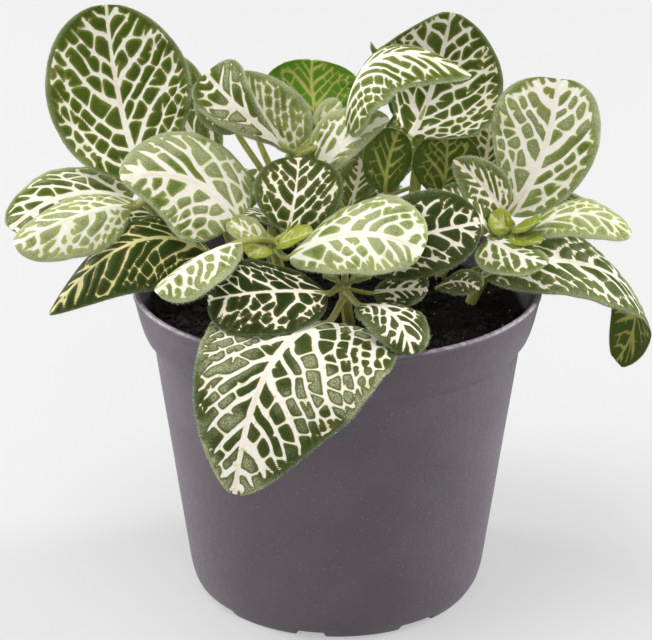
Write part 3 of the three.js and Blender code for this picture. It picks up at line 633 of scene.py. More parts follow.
def side_veins(leaf, plan, random):
    """Distances from the rib's edge and from the nearest side vein's edge, the side vein's half breadth,
    and a number for the strip between side veins that each point lies in.

    A side vein leaves the rib at the length y - x (lean + bow t^3), so it leans forward and bows towards
    the tip. Smooth random heights make it sway, and the strips are by turns wider and narrower."""
    _, t, x, y, hand, rim, lean, length, bold = plan
    start = plan.u - x * (lean + BOW * t ** 3) / length
    pairs = leaf.pairs or max(FEWEST_PAIRS, round(length / RIB_PER_PAIR))
    strip = pairs * start * (1 + CROWDING * np.maximum(start, -0.5))
    strip = strip + LEFT_AHEAD * (hand < 0) * smooth_step(0, 0.3, t)
    shift = random.uniform(0, 60, 2)
    broad_sway = lattice_noise(x * hand + shift[0], y + shift[1], 7.5, SWAY_SEEDS[0])
    small_sway = lattice_noise(x * hand + shift[1], y, 3.6, SWAY_SEEDS[1])
    strip = strip + (0.16 * broad_sway + 0.09 * small_sway) * smooth_step(0, 0.15, t)
    strip = strip + 0.17 * np.sin(2.1 * strip + random.uniform(0, 6) + 1.7 * hand)
    row = np.floor(strip)
    room = length / (pairs * (1 + 2 * CROWDING * np.maximum(start, -0.3))) / np.sqrt(1 + lean ** 2)
    rib = x - bold * (1.55 - 0.9 * plan.u + 0.10 * small_sway)
    fade = smooth_step(0.9, 4.0, rim)
    side_width = bold * (0.80 - 0.48 * t + 0.10 * broad_sway) * fade
    side = (0.5 - np.abs(strip - row - 0.5)) * room - side_width + 0.4 * (1 - fade)
    return rib, side, side_width, row * 2 + (hand > 0)


class CellSpace:
    """The points of a blade's plan, each with the directions along and across the side veins there, and
    distances between them in which the way along the side veins counts less."""

    def __init__(self, plan):
        self.points = np.stack([(plan.x * plan.hand).ravel(), plan.y.ravel()], -1)
        slant = (plan.lean + plan.t ** 3).ravel()
        self.forward = unit(np.stack([plan.hand.ravel(), slant], -1))
        self.aside = np.stack([self.forward[:, 1], -self.forward[:, 0]], -1)

    def parts(self, gaps):
        """How far each gap goes across the side veins, and how far along them."""
        return (gaps * self.aside[:, None]).sum(-1), (gaps * self.forward[:, None]).sum(-1)

    def distances(self, centres):
        """Squared distances of every point from every centre."""
        across, along = self.parts(self.points[:, None] - centres)
        return across ** 2 + along ** 2 / ALONG_VEINS


def outside_centres(leaf, length, random):
    """Centres outside the margin, a row along each side and one beyond the tip: they close the outermost
    cells with loops."""
    ends = np.linspace(0.03, 0.985, max(8, int(length / 2.6)))
    outside = []
    for sign in (-1.0, 1.0):
        place = ends + random.uniform(-0.3, 0.3, len(ends)) * (ends[1] - ends[0])
        reach = half_width(leaf, np.clip(place, 0.02, 0.99), np.full(len(ends), sign)) + 0.6
        outside.append(np.stack([sign * reach, place * length], -1))
    outside.append(np.array([[0.0, length + 0.8]]))
    return np.concatenate(outside)


def inside_centres(space, outside, room, away):
    """The points that become centres of cells: one after the other, the point that lies farthest from all
    centres so far, against the room that a cell wants there, until no gap is left. Points close to a side
    vein or to the margin count as nearer."""
    nearest = space.distances(outside).min(1)
    ease = smooth_step(0, 0.42, away / room) * 0.55 + 0.45
    inner = []
    for _ in range(MOST_CELLS):
        score = np.sqrt(nearest) / room * ease
        best = int(np.argmax(score))
        if score[best] < FILLED:
            break
        inner.append(best)
        nearest = np.minimum(nearest, space.distances(space.points[best:best + 1])[:, 0])
    return np.array(inner, int)


def cell_borders(plan, space, centres, inner, strip, random):
    """The cell that each point belongs to, and its distances from the edges of the veins between that cell
    and all others. A vein runs at equal distance from both centres, half the difference of the squared
    distances over the centres' own distance away. Veins along the strip are the broadest, some of those
    across it end half way or are missing, and some outermost cells stay open to the margin."""
    count, total = len(inner), len(centres)
    every_point = np.arange(len(space.points))
    strip = strip.ravel()
    owner = np.concatenate([strip[inner], np.full(total - count, OUTSIDE)])
    far = np.where((strip[:, None] == owner) | (owner == OUTSIDE), space.distances(centres), 1e6)
    own = np.argmin(far, 1)
    apart = centres[own][:, None] - centres
    across, along = space.parts(apart)
    span = np.maximum(np.linalg.norm(apart, axis=-1), 1e-3)
    scale = np.maximum(np.hypot(across, along / ALONG_VEINS), 1e-3)
    border = (far - far[every_point, own][:, None]) / (2 * scale)

    heavy = random.uniform(0, 1, (total, total))
    heavy = ((heavy + heavy.T) / 2)[own]
    outermost = (own >= count)[:, None].astype(int) + (np.arange(total) >= count)
    lengthwise = smooth_step(0.45, 0.9, np.abs(across) / span)
    forked = (0.58 - 0.30 * plan.t.ravel())[:, None] * (0.55 + 0.45 * heavy)
    rung = 0.18 + 0.30 * heavy
    inward = rung + (forked - rung) * lengthwise
    border = border - plan.breadth * np.select([outermost == 0, outermost == 1], [inward, 0.30], 0.26)

    halfway = space.points[:, None] - (centres[own][:, None] + centres) / 2
    beyond = (halfway[..., 0] * apart[..., 1] - halfway[..., 1] * apart[..., 0]) / span
    beyond = beyond * np.sign(own[:, None] - np.arange(total))
    short = (outermost == 0) & (heavy < 0.36)
    border = border + np.where(short, 1.1 * (1 - lengthwise) * smooth_step(-1.0, 1.2, beyond), 0.0)
    open_cell = random.uniform(0, 1, total) < 0.5
    opened = (outermost == 1) & (open_cell[own][:, None] | open_cell)
    missing = (outermost == 0) & (heavy < 0.2) & (lengthwise < 0.6)
    border = np.where(missing | opened, FAR_OFF, border)
    border[every_point, own] = FAR_OFF
    return own, border


def cell_spurs(plan, space, centres, reach, own, random):
    """Each point's distances from the edges of the spurs in its own cell: short veins that start near the
    centre of a cell and thicken towards its border."""
    with_spur = np.flatnonzero(random.uniform(0, 1, len(reach)) < SPURRED)
    angle = random.uniform(0, 2 * np.pi, len(with_spur))
    way = np.stack([np.cos(angle), np.sin(angle)], -1) * reach[with_spur][:, None]
    tail = centres[with_spur] + way * 0.12
    line = way * (1.1 - 0.12)
    part = np.clip(((space.points[:, None] - tail) * line).sum(-1) / (line ** 2).sum(-1), 0, 1)
    spur = np.linalg.norm(space.points[:, None] - tail - part[..., None] * line, axis=-1)
    spur = spur - plan.breadth * (0.06 + 0.3 * part)
    return np.where(own[:, None] == with_spur, spur, FAR_OFF)


def nearness(distance):
    """Exp(-sharpness distance). Minus the logarithm of a sum of these, over the sharpness, is the least of
    the distances with its corners rounded off."""
    return np.exp(-SHARPNESS * distance)


def vein_net(leaf, u, v, number):
    """The net of veins of a blade, as each point's distance in mm from the nearest vein's edge, negative
    inside a vein: for all veins, for the rib and the side veins alone, and for the finer veins of the
    lower face. The distance from the margin comes with them. The strips between side veins are filled
    with cells, and a finer vein runs wherever two cells of a strip meet."""
    random = np.random.default_rng(VEIN_SEED + number)
    plan = blade_plan(leaf, u, v)
    rib, side, side_width, strip = side_veins(leaf, plan, random)
    main = np.minimum(rib, side)
    space = CellSpace(plan)
    cell = np.clip(1.6 + 0.058 * plan.length, 2.6, 4.7) * leaf.cells
    room = (cell * (1 - 0.38 * plan.t)).ravel()
    away = np.minimum(np.maximum(main, 0), plan.rim - 1.0).ravel()
    outside = outside_centres(leaf, plan.length, random)
    inner = inside_centres(space, outside, room, away)
    centres = np.concatenate([space.points[inner], outside])
    own, border = cell_borders(plan, space, centres, inner, strip, random)
    spur = cell_spurs(plan, space, centres, room[inner], own, random)

    heap = nearness(np.clip(border, -4, FAR_OFF)).sum(1) + nearness(np.clip(spur, -4, FAR_OFF)).sum(1)
    fine = (-np.log(heap) / SHARPNESS).reshape(u.shape)
    fine = fine + 1.4 * smooth_step(1.6, 0.7, plan.rim)
    every = -np.log(nearness(fine) + nearness(np.clip(main, -4, FAR_OFF))) / SHARPNESS
    thin_rib = plan.x - plan.breadth * (1.0 - 0.6 * u)
    thin_side = side + side_width - plan.breadth * (0.56 - 0.34 * plan.t)
    below = np.minimum(np.minimum(thin_rib, thin_side), fine + 0.12)
    return np.clip(every, *KEPT), np.clip(main, *KEPT), plan.rim, np.clip(below, *KEPT)


def blade_surface(leaf, u, v, number):
    """Upper face of a blade. Each half leaves the rib at its fold angle and keeps turning by its curl, so
    that at the share t of the half width w it lies w (sin(fold + curl t) - sin fold) / curl outwards and
    w (cos fold - cos(fold + curl t)) / curl above the rib. Small waves run along the margin."""
    rib, _, across, up = leaf_frame(leaf, u[:, 0])
    t = np.abs(v)
    width = half_width(leaf, u, v)
    fold = np.radians(np.where(v < 0, leaf.fold[0], leaf.fold[1]))
    curl = np.radians(np.where(v < 0, leaf.curl[0], leaf.curl[1]))
    phase = number * 2.4 + np.where(v < 0, 0.0, 1.9)
    waves = 2.2 + 0.5 * np.sin(number * 1.7)
    ripple = 0.035 * t ** 3 * width * np.sin(2 * np.pi * waves * u + phase)
    ripple = ripple + 0.012 * t ** 4 * width * np.sin(2 * np.pi * 3.1 * waves * u + 2.3 * phase)
    out = (np.sin(fold + curl * t) - np.sin(fold)) / curl * width
    lift = (np.cos(fold) - np.cos(fold + curl * t)) / curl * width + ripple
    return (rib[:, None] + across[:, None] * (np.sign(v) * out)[..., None]
            + up[:, None] * lift[..., None])


def face_normals(surface):
    """Unit normals of a grid of points, out of the side from which v runs right and u runs ahead."""
    return unit(np.cross(np.gradient(surface, axis=1), np.gradient(surface, axis=0)))


def blade_grid(leaf, spacing):
    """The parameters u and v of a blade's grid: evenly spaced rows that close up towards the base and the
    tip, where u is c s^2 up to s = e, for c = 1 / (2 e (1 - e)), and the same from the other end."""
    rows = 2 * max(10, int(np.ceil(curve_length(leaf.rib) / spacing / 2)))
    columns = 4 * max(4, int(np.ceil(sum(leaf.wide) / spacing / 4)))
    share = np.linspace(0, 1, rows + 1)
    near_end = np.minimum(share, 1 - share)
    end = 0.09
    bend = 0.5 / (end * (1 - end))
    ease = np.where(near_end < end, bend * near_end ** 2, bend * end * (2 * near_end - end))
    ease = np.where(share > 0.5, 1 - ease, ease)
    u = FIRST_ROW + (LAST_ROW - FIRST_ROW) * ease
    return np.meshgrid(u, np.linspace(-1, 1, columns + 1), indexing="ij")


def blade_faces(rows, columns):
    """Faces of a closed blade, as quads and triangles: the fine grid, behind it the coarse one, which has
    every other point and looks the other way, and a seam of triangles from one to the other round the
    margin."""
    low_rows, low_columns = (rows + 1) // 2, (columns + 1) // 2
    layer = rows * columns

    def margin(rows, columns):
        return np.concatenate([
            np.arange(columns - 1),
            np.arange(rows - 1) * columns + columns - 1,
            (rows - 1) * columns + np.arange(columns - 1, 0, -1),
            np.arange(rows - 1, 0, -1) * columns,
        ])

    ring = margin(rows, columns).reshape(-1, 2)
    across = margin(low_rows, low_columns) + layer
    first, middle, last = ring[:, 0], ring[:, 1], np.roll(ring[:, 0], -1)
    ahead = np.roll(across, -1)
    seam = np.concatenate([
        np.stack([first, across, middle], -1),
        np.stack([middle, across, ahead], -1),
        np.stack([middle, ahead, last], -1),
    ])
    quads = np.concatenate([grid_quads(rows, columns), grid_quads(low_rows, low_columns)[:, ::-1] + layer])
    return quads, seam


def add_blade(heap, leaf, number, settings):
    """A closed blade: its upper face with cells raised between the veins, its lower face with the veins
    standing out, and a seam of triangles round the margin. The face that is seen most has the fine grid,
    and the other one has every other point of it."""
    u, v = blade_grid(leaf, settings.spacing / MM)
    surface = blade_surface(leaf, u, v, number)
    normals = face_normals(surface)
    every, main, rim, below = vein_net(leaf, u, v, number)
    size = curve_length(leaf.rib) / FULL_LENGTH
    t = np.abs(v)
    puff = smooth_step(-0.3, 1.7, every) * smooth_step(0, 2.5, rim)
    groove = 0.5 * np.exp(-(main / vein_breadth(leaf)) ** 2)
    quilting = settings.quilting / MM * min(1.2, size + 0.3)
    top = surface + normals * (quilting * (puff - groove))[..., None]
    thickness = settings.thickness / MM * (1 - 0.5 * t ** 3)
    ridge = 0.5 * size * smooth_step(0.6, -0.9, main) * (1 - 0.7 * u)
    low = surface - normals * (thickness + ridge)[..., None]

    rib = t * half_width(leaf, u, v)
    tone = np.full_like(u, leaf.tone)
    upper = [top, np.stack([every, main, rim], -1), np.stack([rib, 0 * u, tone], -1)]
    lower = [low, np.stack([below, main, rim], -1), np.stack([rib, 0 * u + 1, tone], -1)]
    quads, seam = blade_faces(*u.shape)
    if leaf.below:
        upper, lower = lower, upper
        quads, seam = quads[:, ::-1], seam[:, ::-1]
    points, veins, kinds = [
        np.concatenate([fine.reshape(-1, 3), coarse[::2, ::2].reshape(-1, 3)])
        for fine, coarse in zip(upper, lower)
    ]
    look = np.array([leaf.gold, leaf.worn, leaf.silver])
    heap.add(points, quads, seam, leaf_veins=veins, leaf_look=look, leaf_kind=kinds)


def stalk_path(leaf, shoot, steps=16):
    """The leaf stalk's middle line: it leaves the stem along the stem, arrives along the rib on one cubic
    curve, and runs on under the blade."""
    radius = SMALL_STALK_RADIUS if max(leaf.wide) < SMALL_HALF_WIDTH else STALK_RADIUS
    start = curve_at(shoot.path, leaf.at)
    rib, forward, _, up = leaf_frame(leaf, leaf.join + np.linspace(0, 0.3, 7))
    under = rib - up * radius * 0.7
    span = np.linalg.norm(under[0] - start)
    stem_way = unit(curve_at(shoot.path, min(1, leaf.at + 0.02)) - curve_at(shoot.path, leaf.at - 0.02))
    leaving = start + stem_way * span * 0.3
    arriving = under[0] - forward[0] * span * 0.35
    s = np.linspace(0, 1, steps)[:, None]
    curve = ((1 - s) ** 3 * start + 3 * s * (1 - s) ** 2 * leaving
             + 3 * s ** 2 * (1 - s) * arriving + s ** 3 * under[0])
    path = np.concatenate([curve, under[1:]])
    radii = radius * np.concatenate([1.15 - 0.2 * np.linspace(0, 1, steps), np.linspace(0.9, 0.2, 6)])
    return path, radii


def stem_path(shoot, steps=40):
    """The stem's middle line and its radii, a little swollen where leaves spring from it."""
    share = np.linspace(0, 1, steps)
    swelling = sum(np.exp(-((share - leaf.at) / 0.05) ** 2) for leaf in shoot.leaves)
    radii = STEM_RADIUS * (0.96 - 0.16 * share + 0.05 * np.minimum(swelling, 2))
    return curve_at(shoot.path, share), radii


def add_hairs(heap, bases, ways, length, random):
    """Hairs on the given points: each way is shaken a little and each length drawn round the mean."""
    ways = unit(ways) + random.normal(0, 0.28, ways.shape)
    lengths = length * random.uniform(0.5, 1.25, len(bases))
    points, triangles = spikes(bases, ways, lengths, HAIR_RADIUS)
    heap.add(points, triangles=triangles)


def margin_hairs(heap, leaf, number, settings, random):
    """Hairs round a blade's margin, pointing outwards and a little up."""
    length = settings.hair_length / MM
    count = int(curve_length(leaf.rib) * 1.15 / (settings.hair_spacing / MM))
    for end in (-1.0, 1.0):
        u = np.sort(random.uniform(0.03, LAST_ROW - 0.004, count))[:, None]
        pair = blade_surface(leaf, np.repeat(u, 2, 1), np.array([[end * 0.96, end]]) + 0 * u, number)
        outward = unit(pair[:, 1] - pair[:, 0])
        up = leaf_frame(leaf, u[:, 0])[3]
        bases = pair[:, 1] - up * 0.15
        add_hairs(heap, bases, outward + 0.25 * up * random.normal(0.5, 1, (count, 1)), length, random)


def stem_hairs(heap, path, radii, settings, random):
    """Hairs all round a stem or stalk, standing off it."""
    reach = np.linalg.norm(np.diff(path, axis=0), axis=1).sum()
    count = int(reach * STEM_HAIRS_PER_MM)
    place = random.uniform(0, len(path) - 1.001, count)
    i = place.astype(int)
    part = (place - i)[:, None]
    forward = unit(path[i + 1] - path[i])
    way = unit(np.cross(forward, random.normal(0, 1, (count, 3))))
    radius = (radii[i] * (1 - part[:, 0]) + radii[i + 1] * part[:, 0])[:, None]
    bases = path[i] * (1 - part) + path[i + 1] * part + way * radius * 0.9
    add_hairs(heap, bases, way, settings.hair_length / MM * 0.9, random)


# Materials, with the tints that go with the settings' colours

TIP_GREEN = (0.32, 0.38, 0.008)
CELL_SHADE = (0.004, 0.012, 0.001)
BLEMISH = (0.085, 0.055, 0.020)
PALE_EDGE = (0.42, 0.45, 0.14)
DARK_EDGE = (0.13, 0.09, 0.035)
THIN_CREAM = (0.66, 0.68, 0.36)
BLUSH = (0.78, 0.62, 0.44)
# Painted backlight: the bright green of a lower face with light shining through it
LIT_UNDERSIDE = (0.12, 0.27, 0.012)
STALK_STREAK = (0.17, 0.22, 0.03)
STALK_BROWN = (0.24, 0.15, 0.06)
PALE_DOWN = (0.62, 0.66, 0.50)
GREEN_DOWN = (0.36, 0.45, 0.24)
PEAT_FLECK = (0.12, 0.085, 0.055)
WHITE_GRAIN = (0.55, 0.53, 0.48)


class Value:
    """A number in a material's node tree, so that a pattern can be written as plain arithmetic."""

    def __init__(self, tree, socket):
        self.tree, self.socket = tree, socket

    def math(self, operation, *others, clamp=False):
        """The result of a Math node on this number and the others."""
        node = self.tree.nodes.new("ShaderNodeMath")
        node.operation = operation
        node.use_clamp = clamp
        self.tree.links.new(self.socket, node.inputs[0])
        for i, other in enumerate(others):
            plug(self.tree, other, node.inputs[i + 1])
        return Value(self.tree, node.outputs[0])

    def __add__(self, other):
        return self.math("ADD", other)

    def __sub__(self, other):
        return self.math("SUBTRACT", other)

    def __mul__(self, other):
        return self.math("MULTIPLY", other)

    __radd__ = __add__
    __rmul__ = __mul__

    def __rsub__(self, other):
        return self.math("MULTIPLY", -1.0).math("ADD", other)

    def ramp(self, low, high):
        """0 below low, 1 above high, eased between; high may be the smaller of the two."""
        node = self.tree.nodes.new("ShaderNodeMapRange")
        node.interpolation_type = "SMOOTHSTEP"
        plug(self.tree, self, node.inputs["Value"])
        if low > high:
            low, high = high, low
            node.inputs["To Min"].default_value = 1.0
            node.inputs["To Max"].default_value = 0.0
        node.inputs["From Min"].default_value = low
        node.inputs["From Max"].default_value = high
        return Value(self.tree, node.outputs["Result"])


def plug(tree, value, socket):
    """Links a value to a socket, or sets the socket where the value is a plain number or colour."""
    if isinstance(value, Value):
        tree.links.new(value.socket, socket)
    elif hasattr(value, "__len__") and len(value) == 3 and socket.type == "RGBA":
        socket.default_value = (*value, 1.0)
    else:
        socket.default_value = value


class Finish:
    """A material with one Principled shader, and the nodes that patterns are made of."""

    def __init__(self, name, **settings):
        self.material = bpy.data.materials.new(name)
        self.material.use_nodes = True
        self.tree = self.material.node_tree
        self.shader = self.tree.nodes["Principled BSDF"]
        for socket, value in settings.items():
            plug(self.tree, value, self.shader.inputs[socket.replace("_", " ")])

    def field(self, name):
        """The three numbers of a point field."""
        node = self.tree.nodes.new("ShaderNodeAttribute")
        node.attribute_name = name
        split = self.tree.nodes.new("ShaderNodeSeparateXYZ")
        self.tree.links.new(node.outputs["Vector"], split.inputs[0])
        return [Value(self.tree, output) for output in split.outputs]

    def place(self):
        """The three Object coordinates, in millimetres."""
        node = self.tree.nodes.new("ShaderNodeTexCoord")
        split = self.tree.nodes.new("ShaderNodeSeparateXYZ")
        self.tree.links.new(node.outputs["Object"], split.inputs[0])
        return [Value(self.tree, output) * 1000.0 for output in split.outputs]

    def joined(self, x, y, z):
        """The point with these three coordinates."""
        node = self.tree.nodes.new("ShaderNodeCombineXYZ")
        for value, socket in zip((x, y, z), node.inputs):
            plug(self.tree, value, socket)
        return Value(self.tree, node.outputs[0])

    def point(self):
        """The Object coordinates as one point, in millimetres."""
        return self.joined(*self.place())

    def noise(self, where, scale, detail=2.0, roughness=0.5):
        """A smooth random number round 0.5, with waves one over scale long and finer ones on them."""
        node = self.tree.nodes.new("ShaderNodeTexNoise")
        plug(self.tree, where, node.inputs["Vector"])
        node.inputs["Scale"].default_value = scale
        node.inputs["Detail"].default_value = detail
        node.inputs["Roughness"].default_value = roughness
        return Value(self.tree, node.outputs["Fac"])

    def specks(self, where, scale):
        """Distance from the nearest of the points that lie scattered through space."""
        node = self.tree.nodes.new("ShaderNodeTexVoronoi")
        node.feature = "F1"
        plug(self.tree, where, node.inputs["Vector"])
        node.inputs["Scale"].default_value = scale
        return Value(self.tree, node.outputs["Distance"])

    def mix(self, first, second, share):
        """A colour between two, by share."""
        node = self.tree.nodes.new("ShaderNodeMix")
        node.data_type = "RGBA"
        plug(self.tree, share, node.inputs[0])
        plug(self.tree, first, node.inputs[6])
        plug(self.tree, second, node.inputs[7])
        return Value(self.tree, node.outputs[2])

    def colour(self, value):
        """Gives the shader its colour."""
        plug(self.tree, value, self.shader.inputs["Base Color"])

    def roughness(self, value):
        """Gives the shader its roughness."""
        plug(self.tree, value, self.shader.inputs["Roughness"])

    def bump(self, height, depth):
        """Bends the light as if the surface rose by height times depth, in metres."""
        node = self.tree.nodes.new("ShaderNodeBump")
        node.inputs["Strength"].default_value = 1.0
        node.inputs["Distance"].default_value = depth
        plug(self.tree, height, node.inputs["Height"])
        self.tree.links.new(node.outputs["Normal"], self.shader.inputs["Normal"])


def down_and_sheen_share(finish, place, tone, down, edge, centre, speckled):
    """How much silver veils the green: in the cells, where it is partly down and partly a painted sheen
    that is brightest in their middles, along the margin, in a wide and a narrow band, and in drifts all
    over a pale leaf that is full grown."""
    veil = finish.noise(place, 0.075, 1.0).ramp(0.42, 0.58)
    drift = finish.noise(place, 0.11, 2.0).ramp(0.4, 0.6)
    full_grown = 1.0 - tone.ramp(1.0, 1.3)
    frost = tone.ramp(0.0, 0.8) * full_grown
    # Painted sheen with the down: the veil is strongest in the middles of the raised cells
    cells = down * (0.3 + 0.7 * centre) * (0.25 + 0.4 * speckled) * (0.08 + 1.1 * veil)
    wide_band = edge.ramp(2.4, 0.8) * (0.02 + 0.4 * frost)
    narrow_band = edge.ramp(1.0, 0.1) * (0.1 + 0.3 * frost + 0.2 * speckled)
    pale = tone.ramp(0.55, 0.9) * full_grown * (0.04 + 0.45 * drift + 0.25 * speckled)
    return (cells + wide_band + narrow_band + pale).math("MINIMUM", 0.85)


def cell_colour(finish, settings, place, tone, silver, grain, centre, brown):
    """The green of the cells by the leaf's own tone, under its silver veil of down and painted sheen, with
    painted shade in the hollows, bright hairs and brown blemishes."""
    patch = finish.noise(place, 0.06, 2.0)
    green = finish.mix(settings.dark_green, settings.light_green, tone * (0.55 + 0.9 * patch))
    green = finish.mix(green, TIP_GREEN, tone.ramp(1.0, 1.45))
    # Silver veil: down and painted sheen
    green = finish.mix(green, settings.silver_green, silver)
    green = finish.mix(green, CELL_SHADE, grain.ramp(0.5, 0.3) * centre * 0.5)
    green = finish.mix(green, settings.silver_green, grain.ramp(0.6, 0.75) * 0.15)
    return finish.mix(green, BLEMISH, brown * 0.85)


def border_colour(finish, settings, tone):
    """The thin border of a vein: dark on a dark leaf and pale on a pale one."""
    halo = finish.mix(settings.vein_edge, PALE_EDGE, tone.ramp(0.5, 0.9))
    return finish.mix(DARK_EDGE, halo, tone.ramp(0.0, 0.45))


def vein_colour(finish, settings, place, vein, main, rib, gold, jag, brown):
    """Cream: greener where the veins are thin, warmer along the rib and golden on some leaves: the young
    veins' own yellow, and painted shade on leaves that lie in shade.
    """
    thin = main.ramp(-0.1, 1.0) * 0.3 + vein.ramp(-0.45, 0.0) * 0.3
    stained = (thin + jag * 0.8).math("ADD", brown, clamp=True)
    cream = finish.mix(settings.vein, THIN_CREAM, stained)
    blush = rib.ramp(0.9, 0.1) * finish.noise(place, 0.12, 2.0).ramp(0.4, 0.6) * 0.45
    cream = finish.mix(cream, BLUSH, blush)
    # Gold: the yellow of young veins, and painted shade on the veins of shaded leaves
    return finish.mix(cream, settings.under_vein, gold)


def underside_colour(finish, settings, vein, tone, speckled):
    """The lower face: a paler green than the upper one's, with yellow-green veins. On leaves of pale tone
    it turns to a bright green that is painted backlight, light shining through the blade.
    """
    # Towards painted backlight on leaves of pale tone
    green = finish.mix(settings.underside, LIT_UNDERSIDE, tone.ramp(0.45, 1.0))
    green = finish.mix(green, settings.silver_green, 0.03 + 0.1 * speckled)
    return finish.mix(green, settings.under_vein, vein.ramp(0.38, -0.2) * 0.95)


def leaf_finish(settings):
    """Leaf blade: cream veins in a net on a green blade. The distance from the nearest vein's edge, in
    millimetres, comes with the mesh and is roughened here, so that the edges stay crisp."""
    finish = Finish("leaf_blade", IOR=1.42, Specular_IOR_Level=0.1)
    vein, main, rim = finish.field("leaf_veins")
    # The third number is the leaf's silver share, down and painted sheen; the first its gold, young veins'
    # yellow and painted shade
    gold, worn, down = finish.field("leaf_look")
    rib, under, tone = finish.field("leaf_kind")
    place = finish.point()

    # The edges of the veins and of the margin, roughened
    wander = finish.noise(place, 0.13, 2.0) - 0.5
    jag = finish.noise(place, 0.9, 3.0, 0.6) - 0.5
    scallop = finish.noise(place, 0.55, 2.0, 0.55) - 0.5
    thick = main.ramp(0.5, -0.4)
    vein = vein + jag * (0.06 + 0.24 * thick) + wander * 0.14 + scallop * 0.4 * thick
    edge = rim + jag * 1.2

    # Where each colour lies: in the veins, along them, in the middle of the cells, on hairs and blemishes
    inside = vein.ramp(0.06, -0.1)
    border = vein.ramp(0.75, 0.0) * (1.0 - inside)
    centre = vein.ramp(0.0, 0.9)
    grain = finish.noise(place, 2.6, 3.0, 0.65)
    speckled = grain.ramp(0.42, 0.66)
    brown = (finish.noise(place, 0.45, 4.0, 0.7) * worn).ramp(0.44, 0.56)

    silver = down_and_sheen_share(finish, place, tone, down, edge, centre, speckled)
    green = cell_colour(finish, settings, place, tone, silver, grain, centre, brown)
    green = finish.mix(green, border_colour(finish, settings, tone), border * (0.5 + 0.3 * tone))
    cream = vein_colour(finish, settings, place, vein, main, rib, gold, jag, brown)
    upper = finish.mix(green, cream, inside)
    lower = underside_colour(finish, settings, vein, tone, speckled)
    finish.colour(finish.mix(upper, lower, under))
    finish.roughness(0.44 + 0.12 * speckled + 0.1 * inside)
    height = vein.ramp(-0.25, 0.9) * 0.2 + finish.noise(place, 0.75, 2.0) * 0.35 + grain * 0.28
    finish.bump(height, 0.0006)
    return finish.material


def stalk_finish(settings):
    """Stems and leaf stalks: pale yellow-green, streaked along the plant's height."""
    finish = Finish("stalk", Roughness=0.5, Sheen_Weight=0.15, IOR=1.42)
    x, y, z = finish.place()
    streak = finish.noise(finish.joined(x * 2.0, y * 2.0, z * 0.25), 0.9, 3.0)
    patch = finish.noise(finish.joined(x, y, z), 0.1, 2.0)
    base = finish.mix(settings.stalk, STALK_STREAK, streak.ramp(0.4, 0.7) * 0.6)
    finish.colour(finish.mix(base, STALK_BROWN, patch.ramp(0.55, 0.75) * 0.35))
    finish.bump(streak, 0.0004)
    return finish.material


def hair_finish():
    """Down: short pale hairs, a little greener in places."""
    finish = Finish("leaf_down", Roughness=0.55, Sheen_Weight=0.3)
    patch = finish.noise(finish.point(), 0.3, 2.0)
    finish.colour(finish.mix(PALE_DOWN, GREEN_DOWN, patch.ramp(0.35, 0.65)))
    return finish.material


def pot_finish(settings):
    """Recycled moulded plastic: grey mauve with fine light and dark specks, a faint mottle, a skin like
    orange peel and a lip painted pale, partly as wear and partly as a painted highlight along its top."""
    finish = Finish("pot_plastic", IOR=1.48, Specular_IOR_Level=0.6)
    x, y, z = finish.place()
    place = finish.joined(x, y, z)
    mottle = finish.noise(place, 0.045, 3.0)
    cloud = finish.noise(place, 0.4, 3.0, 0.6)
    fine = finish.noise(place, 2.4, 2.0, 0.7)
    light_speck = finish.specks(place, 0.62).ramp(0.20, 0.10) * cloud.ramp(0.46, 0.56)
    dark_speck = finish.specks(place, 0.95).ramp(0.22, 0.10) * cloud.ramp(0.52, 0.42)
    # The top of the lip painted pale: partly wear, partly a painted highlight along the lip
    lip_wear_and_highlight = z.ramp(POT_HEIGHT - 1.1, POT_HEIGHT - 0.3) * (0.25 + 0.45 * cloud.ramp(0.42, 0.6))

    def tinted(times):
        return [channel * times for channel in settings.plastic]

    base = finish.mix(settings.plastic, tinted(0.72), mottle.ramp(0.35, 0.65) * 0.5)
    base = finish.mix(base, tinted(1.35), fine.ramp(0.52, 0.72) * 0.35)
    base = finish.mix(base, settings.speckle, light_speck * 0.22)
    # Pale lip: wear and painted highlight
    base = finish.mix(base, settings.speckle, lip_wear_and_highlight)
    finish.colour(finish.mix(base, tinted(0.45), dark_speck * 0.55))
    finish.roughness(0.40 + 0.18 * cloud)
    finish.bump(cloud * 0.5 + fine * 0.35 - dark_speck * 0.4, 0.00045)
    return finish.material


def peat_finish(settings):
    """Damp peat: near-black hollows, which are the peat's own dark deepened by painted shade, brown crumbs
    and a few white grains. A crumb's own tint is in the first number of its field, and the second is 1 on
    a white grain."""
    finish = Finish("peat", IOR=1.4, Specular_IOR_Level=0.25)
    tint, white, _ = finish.field("crumb")
    place = finish.point()
    rough = finish.noise(place, 0.9, 5.0, 0.7)
    fine = finish.noise(place, 4.0, 3.0, 0.7)
    # Painted shade: the dark is laid where the relief of the bump is low
    base = finish.mix(settings.dark, settings.brown, (rough * 0.9 + tint - 0.35).ramp(0.1, 0.9))
    base = finish.mix(base, PEAT_FLECK, fine.ramp(0.6, 0.8) * 0.5)
    finish.colour(finish.mix(base, WHITE_GRAIN, white))
    finish.roughness(0.72 + 0.2 * fine)
    finish.bump(rough + 0.4 * fine, 0.0009)
    return finish.material


def floor_finish(settings):
    """Pale board lit from below, as a studio's light table, with a barely visible grain."""
    finish = Finish(
        "floor_board", Roughness=0.75, Specular_IOR_Level=0.15,
        Emission_Color=(1.0, 1.0, 1.0), Emission_Strength=settings.floor_glow)
    grain = finish.noise(finish.point(), 0.02, 3.0)
    darker = [c * 0.99 for c in settings.floor_colour]
    finish.colour(finish.mix(settings.floor_colour, darker, grain))
    return finish.material


# The pot

def inner_radius(z):
    """Radius of the pot's inner face at a height: straight from each of four heights to the next."""
    heights = [FLOOR_TOP, WALL_BOTTOM, COLLAR_BOTTOM - 1, POT_HEIGHT]
    return np.interp(z, heights, [41.7, 43.6, 52.9, POT_RIM - 1.7])


